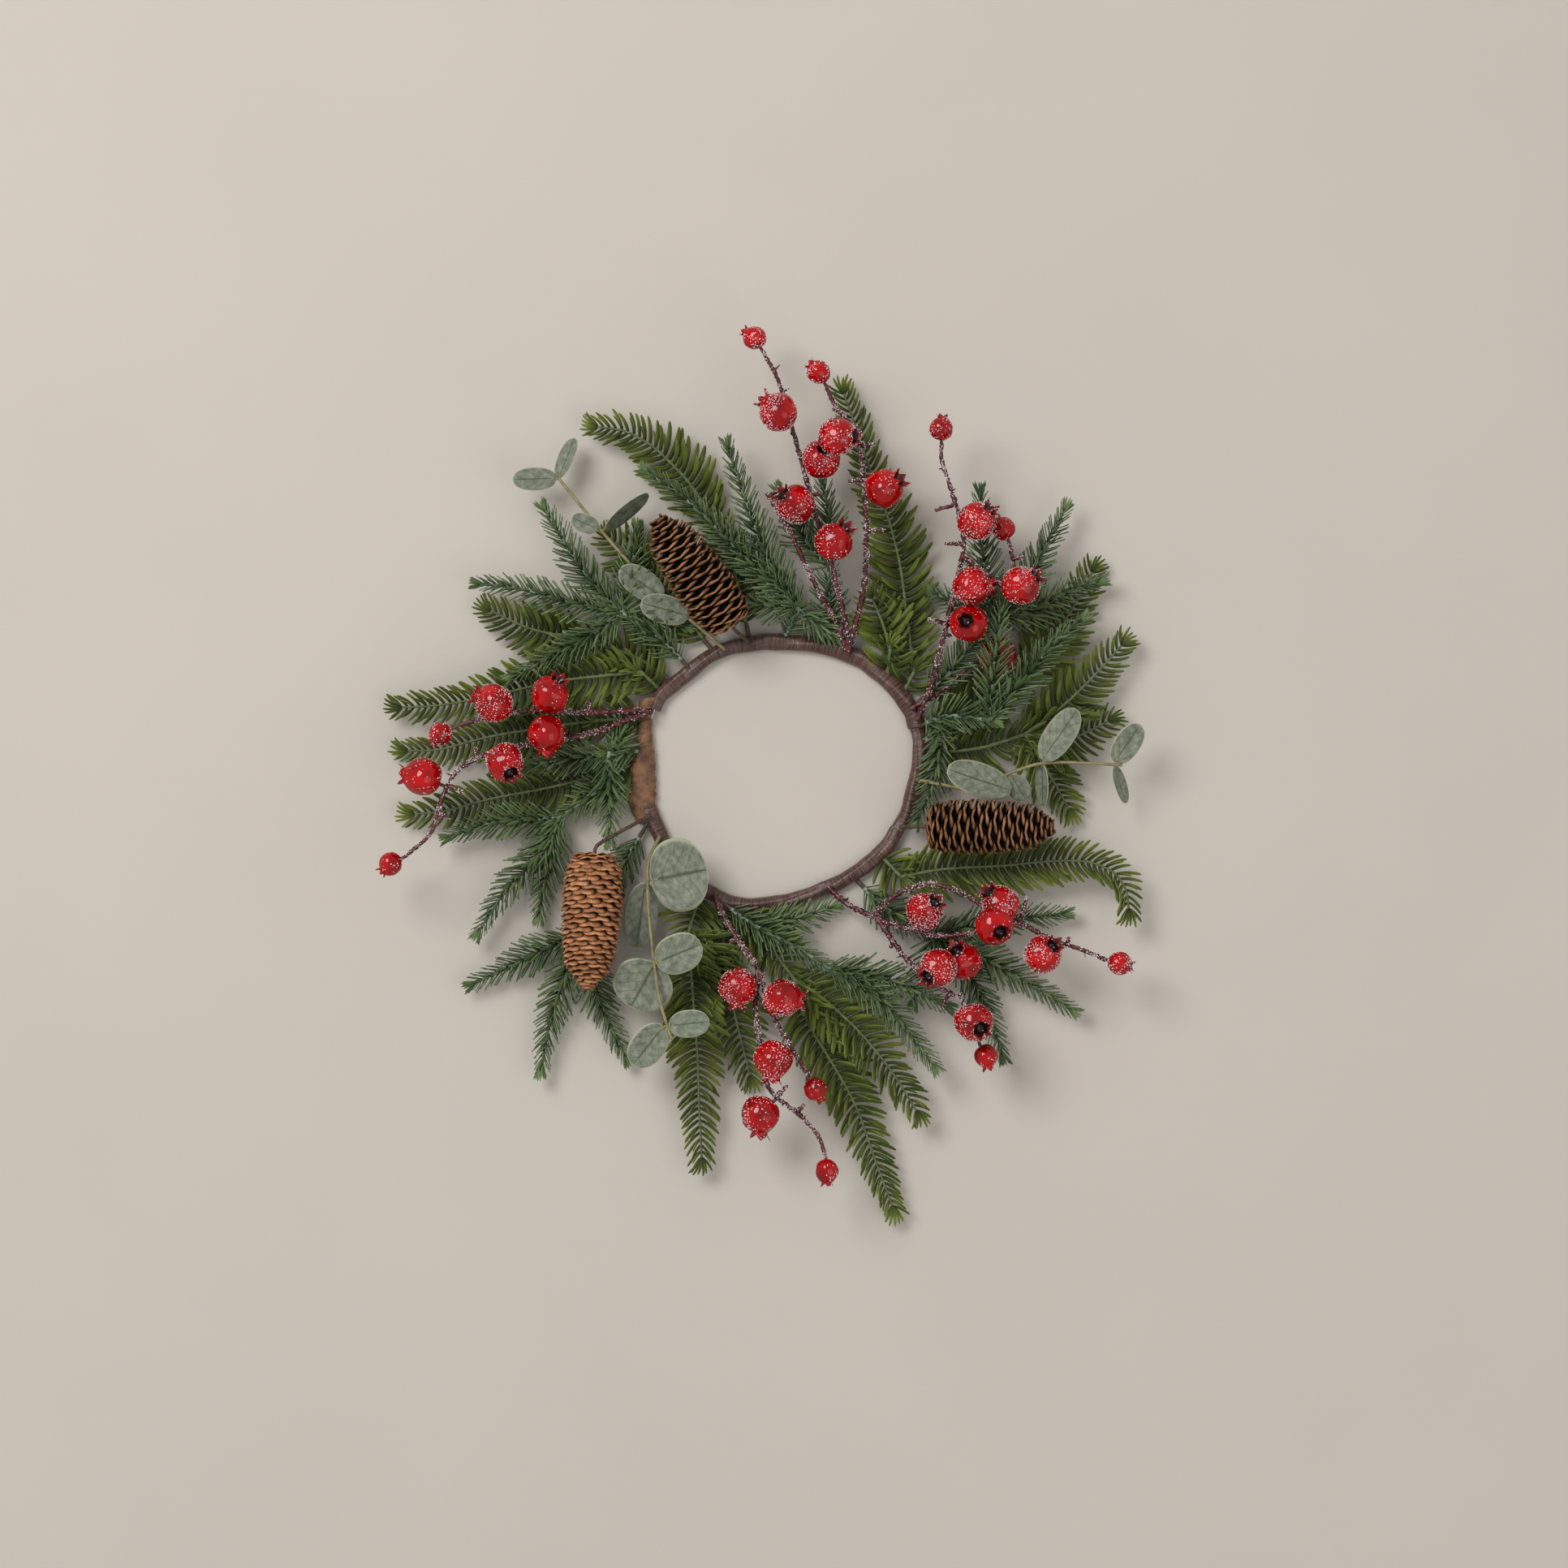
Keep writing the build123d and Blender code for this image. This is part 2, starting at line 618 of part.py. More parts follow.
def comb_outline(flat, needle, spacing, slant):
    """A flat comb of forward needles on both sides of a stem."""
    total = sum((b - a).length for a, b in zip(flat, flat[1:]))
    count = max(3, round(total / spacing))
    sides = {1: [], -1: []}
    for k in range(count):
        distance = total * (k + 0.5) / count
        share = distance / total
        reach = needle * (0.75 + 0.25 * math.sin(math.pi * min(1, share * 1.6))) * (1 - 0.35 * share ** 4)
        angle = math.radians(slant * (1 - 0.4 * share ** 3))
        way = heading(flat, distance, total, 2 * needle)
        valley = station(flat, total * k / count)
        point = station(flat, distance)
        for side in (1, -1):
            across = Vector(-way.Y, way.X, 0) * side
            end = point + way * (reach * math.cos(angle)) + across * (reach * math.sin(angle))
            sides[side] += [valley + across * PLATE_STEM_HALF_WIDTH, end]
    last = station(flat, total) + heading(flat, total, total, needle) * (needle / 2)
    return sides[1] + [last] + sides[-1][::-1]


def green_tip(kind, tip):
    """One needled tip: a comb plate with its round stem along the middle."""
    if kind == "fir":
        needle, spacing, slant = FIR_NEEDLE, FIR_SPACING, FIR_SLANT
    else:
        needle, spacing, slant = SPRUCE_NEEDLE, SPRUCE_SPACING, SPRUCE_SLANT
    flat, raised = tilted(tip)
    outline = [raised(point) for point in comb_outline(flat, needle, spacing, slant)]
    face = Face(Wire.make_polygon(outline, close=True))
    plate = Solid.extrude(face, Vector(0, 0, PLATE_THICKNESS))
    plate = Pos(0, 0, -PLATE_THICKNESS / 2) * plate
    stem = tube([raised(point) for point in flat], GREEN_STEM_RADIUS)
    return [plate, stem]


def green_pick(pick):
    """A whole pick: its bare wire, its needled tips, and a spindle through each fork."""
    points = green_stem_points(pick)
    result = tube(points, GREEN_STEM_RADIUS).solid()
    for fork in sorted({tip["route_pixels"][0] for tip in pick["tips"]}):
        here = [tip["height_shares"][0] for tip in pick["tips"] if tip["route_pixels"][0] == fork]
        reached = nearest_on([sampled(points)], spot(fork)).Z
        low = min([reached] + [share * MOUND_HEIGHT for share in here]) - GREEN_STEM_RADIUS
        high = max([reached] + [share * MOUND_HEIGHT for share in here]) + GREEN_STEM_RADIUS
        spindle = Cylinder(SPINDLE_RADIUS, high - low, align=(Align.CENTER, Align.CENTER, Align.MIN))
        result = result.fuse((Pos(*spot(fork, low)) * spindle).solid()).solid()
    for tip in pick["tips"]:
        plate, stem = green_tip(pick["kind"], tip)
        result = result.fuse(plate.solid().fuse(stem.solid()).solid()).solid()
    return result


def spray_hinge(pixels, stem_radius):
    """Where a loose stem leaves its binding, just clear on top of the winding."""
    return on_winding(pixels, HINGE_TURN, WRAP_RADIUS * 1.06 + RUN_CLEARANCE + stem_radius)


def rising(points, low, high):
    """A stem that climbs fast from its binding and then levels off."""
    shares = lengths_along(points)
    return [
        Vector(p.X, p.Y, low + (high - low) * math.sin(math.pi / 2 * s))
        for p, s in zip(points, shares)]


def nearest_on(routes, place):
    """The point of any route that lies nearest to a place in plan."""
    best = None
    for route in routes:
        for a, b in zip(route, route[1:]):
            side = Vector(b.X - a.X, b.Y - a.Y, 0)
            way = Vector(place.X - a.X, place.Y - a.Y, 0)
            share = min(max(way.dot(side) / side.length ** 2, 0), 1)
            point = a + (b - a) * share
            away = math.hypot(point.X - place.X, point.Y - place.Y)
            if best is None or away < best[0]:
                best = (away, point)
    return best[1]


def spray_routes(spray):
    """The stems that rise from the binding, then the branches that rise from them."""
    hinge = spray_hinge(spray["bound_pixels"], KNUCKLE_RADIUS)
    routes = []
    for stem in spray["stems"]:
        points = [hinge] + [spot(pixels) for pixels in stem["route_pixels"]]
        routes.append(rising(points, hinge.Z, stem["height_shares"] * MOUND_HEIGHT))
    lines = [sampled(route) for route in routes]
    for branch in spray["branches"]:
        places = [spot(pixels) for pixels in branch["route_pixels"]]
        start = nearest_on(lines, places[0])
        points = [start] + places[1:]
        routes.append(rising(points, start.Z, branch["height_shares"] * MOUND_HEIGHT))
    return routes


def berry_places(spray, lines):
    """Each berry's centre, foot on the stem, crown direction and radius."""
    places = []
    for key, radius in (("large_pixels", BERRY_RADIUS), ("small_pixels", BUD_RADIUS)):
        for x, y, crown_x, crown_y in spray[key]:
            centre = spot((x, y))
            foot = nearest_on(lines, centre)
            away = math.hypot(foot.X - centre.X, foot.Y - centre.Y)
            reach = radius + SPRAY_STEM_RADIUS + RUN_CLEARANCE
            rise = math.sqrt(max(reach ** 2 - away ** 2, 0))
            centre = Vector(centre.X, centre.Y, foot.Z + rise)
            toward = spot((crown_x, crown_y)) - spot((x, y))
            up = math.sqrt(max(radius ** 2 - toward.length ** 2, 0))
            crown = Vector(toward.X, toward.Y, up).normalized()
            places.append((centre, foot, crown, radius))
    return places


def berry_blank(radius):
    """A hip with its crown of five sepals round a hollow, crown upwards."""
    neck = 0.42 * radius
    lip = 0.62 * radius
    body = Sphere(radius).cut(Pos(0, 0, radius) * Cylinder(neck - CROWN_WALL, 0.9 * radius))
    low = 0.86 * radius
    high = 1.3 * radius
    flare = Cone(neck, lip, high - low, align=(Align.CENTER, Align.CENTER, Align.MIN))
    hollow = Cone(
        neck - CROWN_WALL, lip - CROWN_WALL, high - low, align=(Align.CENTER, Align.CENTER, Align.MIN))
    crown = Pos(0, 0, low) * (flare - hollow)
    notch = Pos(0, 0, high) * Box(4 * lip, 0.32 * lip, 0.9 * (high - low))
    crown = crown - [Rot(0, 0, 72 * k) * Pos(2 * lip, 0, 0) * notch for k in range(5)]
    return (body + crown).solid()


def berry_spray(spray):
    """The stems with their twigs as one piece, and the berries as separate ones."""
    routes = spray_routes(spray)
    lines = [sampled(route) for route in routes]
    places = berry_places(spray, lines)
    pieces = []
    for k, route in enumerate(routes):
        radius = SPRAY_STEM_RADIUS * (1 - 0.07 * k)
        pieces += [ball(route[0], KNUCKLE_RADIUS), tube(route, radius), ball(route[-1], KNUCKLE_RADIUS)]
    for twig in spray["twig_pixels"]:
        foot = nearest_on(lines, spot(twig))
        end = spot(twig, foot.Z + SPRAY_STEM_RADIUS)
        pieces.append(tube([foot, end], TWIG_RADIUS))
    blanks = {BERRY_RADIUS: berry_blank(BERRY_RADIUS), BUD_RADIUS: berry_blank(BUD_RADIUS)}
    berries = []
    for centre, foot, crown, radius in places:
        way = (centre - foot).normalized()
        inner = centre - way * (radius - SOCKET_DEPTH)
        pieces.append(tube([foot, inner], TWIG_RADIUS))
        berry = Plane(origin=centre, z_dir=crown) * blanks[radius]
        outer = centre - way * (radius + SOCKET_DEPTH)
        socket = tube([outer, inner + way * SOCKET_CLEARANCE], TWIG_RADIUS + SOCKET_CLEARANCE)
        berries.append(berry.cut(socket).solid())
    return joined(pieces), Compound(berries)


def cone_profile(share):
    """How wide the cone is along its length, as a share of its full radius."""
    if share < 0.12:
        return 0.62 + 0.3 * math.sin(math.pi / 2 * share / 0.12)
    return 0.92 + 0.08 * math.sin(math.pi * (share - 0.12) / 0.5) if share < 0.62 else (
        0.92 - 0.44 * ((share - 0.62) / 0.38) ** 2)


def cone_scale(radius, width):
    """One woody scale: a wedge that leans forward and out of the core."""
    back = 0.25 * CONE_CORE_RADIUS
    root = [(radius - 0.5 * CONE_CORE_RADIUS, -width / 2), (radius - 0.5 * CONE_CORE_RADIUS, width / 2)]
    outline = root + [(radius - back / 2, width / 2), (radius, 0.2 * width), (radius, -0.2 * width),
                      (radius - back / 2, -width / 2)]
    return extrude(make_face(Polyline(*outline, close=True)), SCALE_THICKNESS)


def cone_body():
    """The cone along +Z: a core with rows of scales, each row turned by half a scale."""
    rows = 13
    around = 8
    profile = [(0, 0)]
    for k in range(9):
        share = k / 8
        profile.append((CONE_CORE_RADIUS * cone_profile(share), CONE_LENGTH * share))
    profile.append((0, CONE_LENGTH))
    core = revolve(make_face(Polyline(*profile, close=True).rotate(Axis.X, 90)), Axis.Z)
    scales = []
    for row in range(rows):
        share = (row + 0.5) / rows
        radius = CONE_RADIUS * cone_profile(share)
        width = 2 * math.pi * radius / around * 0.86
        scale = Rot(0, -24, 0) * cone_scale(radius, width)
        height = CONE_LENGTH * share - CONE_RADIUS * 0.4
        for k in range(around):
            turn = 360 * (k + 0.5 * (row % 2)) / around
            scales.append((Pos(0, 0, height) * Rot(0, 0, turn) * scale).solid())
    return core.solid().fuse(*scales).solid()


def cone_placed(body, cone):
    low, high = [share * MOUND_HEIGHT for share in cone["height_shares"]]
    base = spot(cone["base_pixels"], low)
    tip = spot(cone["tip_pixels"], high)
    axis = (tip - base).normalized()
    hinge = spray_hinge(cone["bound_pixels"], KNUCKLE_RADIUS)
    inner = base + axis * CONE_SOCKET
    elbow = base - axis * CONE_SOCKET
    socket = tube([base - axis * CONE_LENGTH, inner + axis * SOCKET_CLEARANCE],
                  CONE_WIRE_RADIUS + SOCKET_CLEARANCE)
    placed = (Plane(origin=base, z_dir=axis) * body).cut(socket).solid()
    wire = tube([hinge, elbow, inner], CONE_WIRE_RADIUS)
    wire = wire.fuse(ball(hinge, KNUCKLE_RADIUS).solid()).solid()
    return placed, wire


def eucalyptus_route(sprig):
    hinge = spray_hinge(sprig["bound_pixels"], KNUCKLE_RADIUS)
    places = [spot(pixels) for pixels in sprig["stem"]["route_pixels"]]
    top = sprig["stem"]["height_shares"] * MOUND_HEIGHT
    return rising([hinge] + places, hinge.Z, top)


def leaf(base, tip, width):
    """A thin oval leaf from its base to its tip."""
    along = tip - base
    across = Vector(-along.Y, along.X, 0)
    plane = Plane(origin=(base + tip) * 0.5, x_dir=along, z_dir=along.cross(across))
    return extrude(plane * Ellipse(along.length / 2, width / 2), LEAF_THICKNESS).solid()


def eucalyptus(sprig):
    """The stem as one piece, and the leaves, each lying on it at its joint."""
    route = eucalyptus_route(sprig)
    stem = tube(route, EUCALYPTUS_STEM_RADIUS)
    stem = stem.fuse(ball(route[0], KNUCKLE_RADIUS).solid()).solid()
    leaves = []
    for side, key in ((1, "upper_leaf_pixels"), (-1, "lower_leaf_pixels")):
        for base_x, base_y, tip_x, tip_y, width in sprig[key]:
            joint = nearest_on([sampled(route)], spot((base_x, base_y)))
            clear = EUCALYPTUS_STEM_RADIUS + LEAF_GAP + (0 if side == 1 else LEAF_THICKNESS)
            base = spot((base_x, base_y), joint.Z + side * clear)
            tip = spot((tip_x, tip_y), base.Z)
            tip += Vector(0, 0, side * LEAF_TILT_SHARE * (tip - base).length)
            leaves.append(leaf(base, tip, width * PIXEL))
    return stem, Compound(leaves)


def build():
    nodes = {"hoop_wire": hoop_wire()}
    cuts = binding_cuts()
    for name, wrap in WRAPS.items():
        nodes[name] = thread_wrap(wrap, cuts)
    nodes["floral_tape"] = floral_tape(cuts)
    for name, pick in GREENS.items():
        nodes[name] = green_pick(pick)
    body = cone_body()
    for name, cone in CONES.items():
        nodes[name], nodes[name + "_wire"] = cone_placed(body, cone)
    for name, spray in SPRAYS.items():
        nodes[name + "_stem"], nodes[name + "_berries"] = berry_spray(spray)
    for name, sprig in EUCALYPTUS.items():
        nodes[name + "_stem"], nodes[name + "_leaves"] = eucalyptus(sprig)
    return nodes


os.makedirs("parts", exist_ok=True)
for node, shape in build().items():
    shape.label = node
    export_step(shape, os.path.join("parts", node + ".step"))
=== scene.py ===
"""The looks of a candle ring: wound hoop, needled picks, cones, frosted berries and leaves."""

import json
import math
import random

import bmesh
import bpy
from mathutils import Matrix, Vector, noise

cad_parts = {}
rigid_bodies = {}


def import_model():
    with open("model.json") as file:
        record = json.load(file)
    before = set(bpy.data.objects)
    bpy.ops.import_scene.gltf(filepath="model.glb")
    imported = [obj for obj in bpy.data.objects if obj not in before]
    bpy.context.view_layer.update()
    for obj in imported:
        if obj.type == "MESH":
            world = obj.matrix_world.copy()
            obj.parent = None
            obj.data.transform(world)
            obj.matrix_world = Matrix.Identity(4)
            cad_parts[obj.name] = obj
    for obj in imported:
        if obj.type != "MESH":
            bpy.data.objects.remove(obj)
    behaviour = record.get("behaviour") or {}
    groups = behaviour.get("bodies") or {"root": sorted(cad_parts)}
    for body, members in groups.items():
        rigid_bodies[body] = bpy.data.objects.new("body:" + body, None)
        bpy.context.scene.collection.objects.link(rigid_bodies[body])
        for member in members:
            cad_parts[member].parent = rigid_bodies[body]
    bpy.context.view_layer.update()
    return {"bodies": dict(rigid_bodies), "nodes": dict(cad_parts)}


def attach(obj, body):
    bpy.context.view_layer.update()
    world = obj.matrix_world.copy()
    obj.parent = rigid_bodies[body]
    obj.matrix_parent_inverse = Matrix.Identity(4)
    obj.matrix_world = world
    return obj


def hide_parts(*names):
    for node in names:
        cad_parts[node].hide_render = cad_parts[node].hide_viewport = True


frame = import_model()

bl_info = {
    "name": "Candle ring",
    "version": (1, 0, 0),
    "blender": (4, 5, 0),
    "location": "3D View > Sidebar > Candle ring",
    "description": "Makes the pieces of a decorated candle ring",
    "category": "Add Mesh",
}

MM = 0.001
SEED = 7
UP = Vector((0, 0, 1))
GOLDEN_TURN = math.radians(137.508)
TINY, TINY_SQUARE = 1e-9, 1e-12
NEARLY_STEEP = 1e-3

# Places are read off the photograph, straight from above, in millimetres to a pixel
PIXEL = 0.3125
CENTRE_PIXELS = (963.5, 951.5)
IMAGE_MIDDLE = 966

# All that follows is in millimetres or a share, and angles are in degrees
HOOP_HEIGHT = 2.2
MOUND_HEIGHT = 40.0
TABLE_GAP = 0.05
WRAP_RADIUS = 2.7
WIDEST_WINDING = WRAP_RADIUS * 1.06
BINDING_DEPTH = 0.55
RUN_CLEARANCE = 0.35
KNUCKLE_RADIUS = 1.15
HINGE_TURN = 85
BEND_SHARE = 0.45

# Thread stands over a plain winding by THREAD_OVER, and by twice that up to corner WIDE_CORNERS
THREAD_OVER = 0.3
WIDE_CORNERS = 6
THREAD_ROWS = 4
THREAD_LEAN = 2.0
THREAD_PROUD = 0.06
THREAD_UNEVEN = 0.03
THREAD_SIDES = 30
THREAD_SWELL, THREAD_FOLD = 0.35, 0.8
WRAP_CLOSING = 0.86
TAPE_HALF_HEIGHT = 3.0
TAPE_STEP = 0.35
TAPE_ROWS = 9
TAPE_LEAN = 1.6
TAPE_SIDES = 40
TAPE_CREASE, TAPE_PLEAT, TAPE_FINE, TAPE_SUNK = 0.5, 0.7, 0.08, 0.45

# A stem's rounded ends, against its radius, and how close together its lumps are
END_REACH, END_SWELL = 0.45, 0.55
LUMP_PITCH = 0.9
STEM_FLOOR = 0.1
STEEPEST = 0.95
NEEDLE_FLOOR = 0.5
CLOTHED_FROM = 0.15
SHORTEST_CLOTHED = 3
FIR_SLANT, FIR_SPREAD, FIR_END_NEEDLES = 74, 6, 5
SPRUCE_SLANT, SPRUCE_SPREAD, SPRUCE_END_NEEDLES = 52, 8, 9
SPRUCE_LOWEST = -0.35
LIFT_SPREAD = 0.14
STEM_FINISHES = {"fir": "fir_stem", "spruce": "green_stem"}

# Scales lean out by BASE_SPREAD radians at a cone's base, and close from TIP_SHARE of its length on
CONE_LENGTH = 54.0
CONE_RADIUS = 12.0
CONE_SOCKET = 3.0
CONE_FOOT, CONE_TAPER = 0.12, 0.62
SCALE_LENGTH = 10.2
BASE_SPREAD = 0.8
TIP_SHARE = 0.84
ROSETTE = 21
CORE_RINGS = 15
CORE_SIDES = 16
CONE_WIRE_RADIUS = 0.7

# A scale's half width and half thickness at shares of its length, and its outline across
SCALE_STATIONS = [
    (0.0, 0.16, 0.025), (0.3, 0.28, 0.025), (0.55, 0.42, 0.03), (0.75, 0.5, 0.032),
    (0.88, 0.49, 0.035), (0.96, 0.41, 0.035), (1.0, 0.27, 0.025)]
SCALE_OUTLINE = [
    (-1, 0), (-0.7, 1), (0, 1.15), (0.7, 1), (1, 0), (0.7, -1), (0, -0.85), (-0.7, -1)]

SPRAY_STEM_RADIUS = 0.9
TWIG_RADIUS = 0.6
SPUR_GAP = 9.0
SPUR_RADIUS = 0.55
BERRY_SIDES = 30
BERRY_LUMPS, BERRY_PITS = 0.09, 0.035
SEPAL_COUNTS = (5, 5, 6)
FROST_AMOUNTS = (0.2, 0.45, 0.8, 1.15)

# A berry's rings up to its crown, in degrees, then of each ring in the crown: how wide and how high
# it is against the radius, how light, how frosted and how far it is drawn out into points
BERRY_ANGLES = (4, 14, 27, 40, 53, 66, 79, 92, 105, 118, 130, 141, 150)
BERRY_CROWN = [
    (0.42, 0.93, 0.9, 0.9, 0), (0.43, 1.03, 0.8, 0.8, 0.3), (0.5, 1.1, 0.8, 1.1, 1),
    (0.46, 1.08, 0.6, 0.6, 1), (0.36, 1.0, 0.25, 0.1, 0.3), (0.3, 0.86, 0.0, 0, 0),
    (0.2, 0.7, 0.0, 0, 0), (0.04, 0.66, 0.0, 0, 0)]

EUCALYPTUS_STEM_RADIUS = 0.75
LEAF_THICKNESS = 0.6
LEAF_GAP = 0.2
LEAF_TILT_SHARE = 0.16
LEAF_ROWS = 16
LEAF_HALF_SIDES = 6
LEAF_STALK_RADIUS = 0.45
LEAF_NARROWEST = 0.5
LEAF_CUP, LEAF_ARCH, LEAF_WAVE, LEAF_CREASE = 0.05, 0.05, 0.03, 0.012
VEIN_SLANT, VEIN_COUNT = 0.75, 5.0

# In metres and radians
WELD = 1e-7
BUMP_DEPTH = 0.0003
ANY_TURN = (6.28, 6.28, 6.28)
FLOOR_HALF = 4.0
CAMERA_HEIGHT = 2.0
CAMERA_REACH = 50
SENSOR_MM = 36
ROOM_COLOUR, ROOM_STRENGTH = (1.0, 0.99, 0.97, 1), 0.5

# Of each lamp: its name, place, width and power
LAMPS = [("window_light", (-0.9, 0.8, 1.6), 1.0, 22.5), ("fill_light", (1.0, -0.6, 1.5), 1.4, 5.0)]

# Corners of the hoop's line, clockwise from the top
HOOP_PIXELS = [
    (945, 791), (985, 792), (1029, 800), (1066, 815), (1099, 844), (1126, 880), (1133, 912),
    (1132, 945), (1124, 976), (1115, 1004), (1095, 1040), (1066, 1068), (1034, 1086), (1000, 1101),
    (965, 1111), (930, 1115), (897, 1110), (864, 1094), (840, 1072), (820, 1042), (799, 995),
    (794, 962), (795, 925), (799, 890), (813, 858), (845, 832), (873, 810), (905, 797)]

# Windings: the first and the last corner that each covers, and its radius against the plain one
WRAPS = {
    "thread_wrap_top": (0, 2, 1.0),
    "thread_wrap_top_right": (3, 5, 1.06),
    "thread_wrap_right": (6, 9, 0.92),
    "thread_wrap_lower_right": (10, 12, 1.0),
    "thread_wrap_bottom": (13, 16, 0.9),
    "thread_wrap_lower_left": (17, 19, 1.04),
    "thread_wrap_top_left": (24, 27, 0.96),
}
TAPE_CORNER = 20

# Edges of the tape's turns: the outer and the inner edge at each height down the photograph
TAPE_PIXELS = [
    (787, 813, 864), (786, 806, 876), (787, 804, 892), (785, 804, 908), (781, 806, 924),
    (776, 808, 942), (773, 808, 960), (772, 809, 980), (777, 808, 996), (786, 813, 1012)]


def pick(bound_pixels, bound_turn, stem_share, stem_route, *tips):
    """A pick's stem, and its tips, which go on from the stem's end or from a fork of their own."""
    made = []
    for tip_share, onward, *fork in tips:
        start_share, start = fork or (stem_share, stem_route[-1])
        made.append((start_share, tip_share, [start, *onward]))
    return {
        "bound_pixels": bound_pixels, "bound_turn": bound_turn, "share": stem_share,
        "route": stem_route, "tips": made}


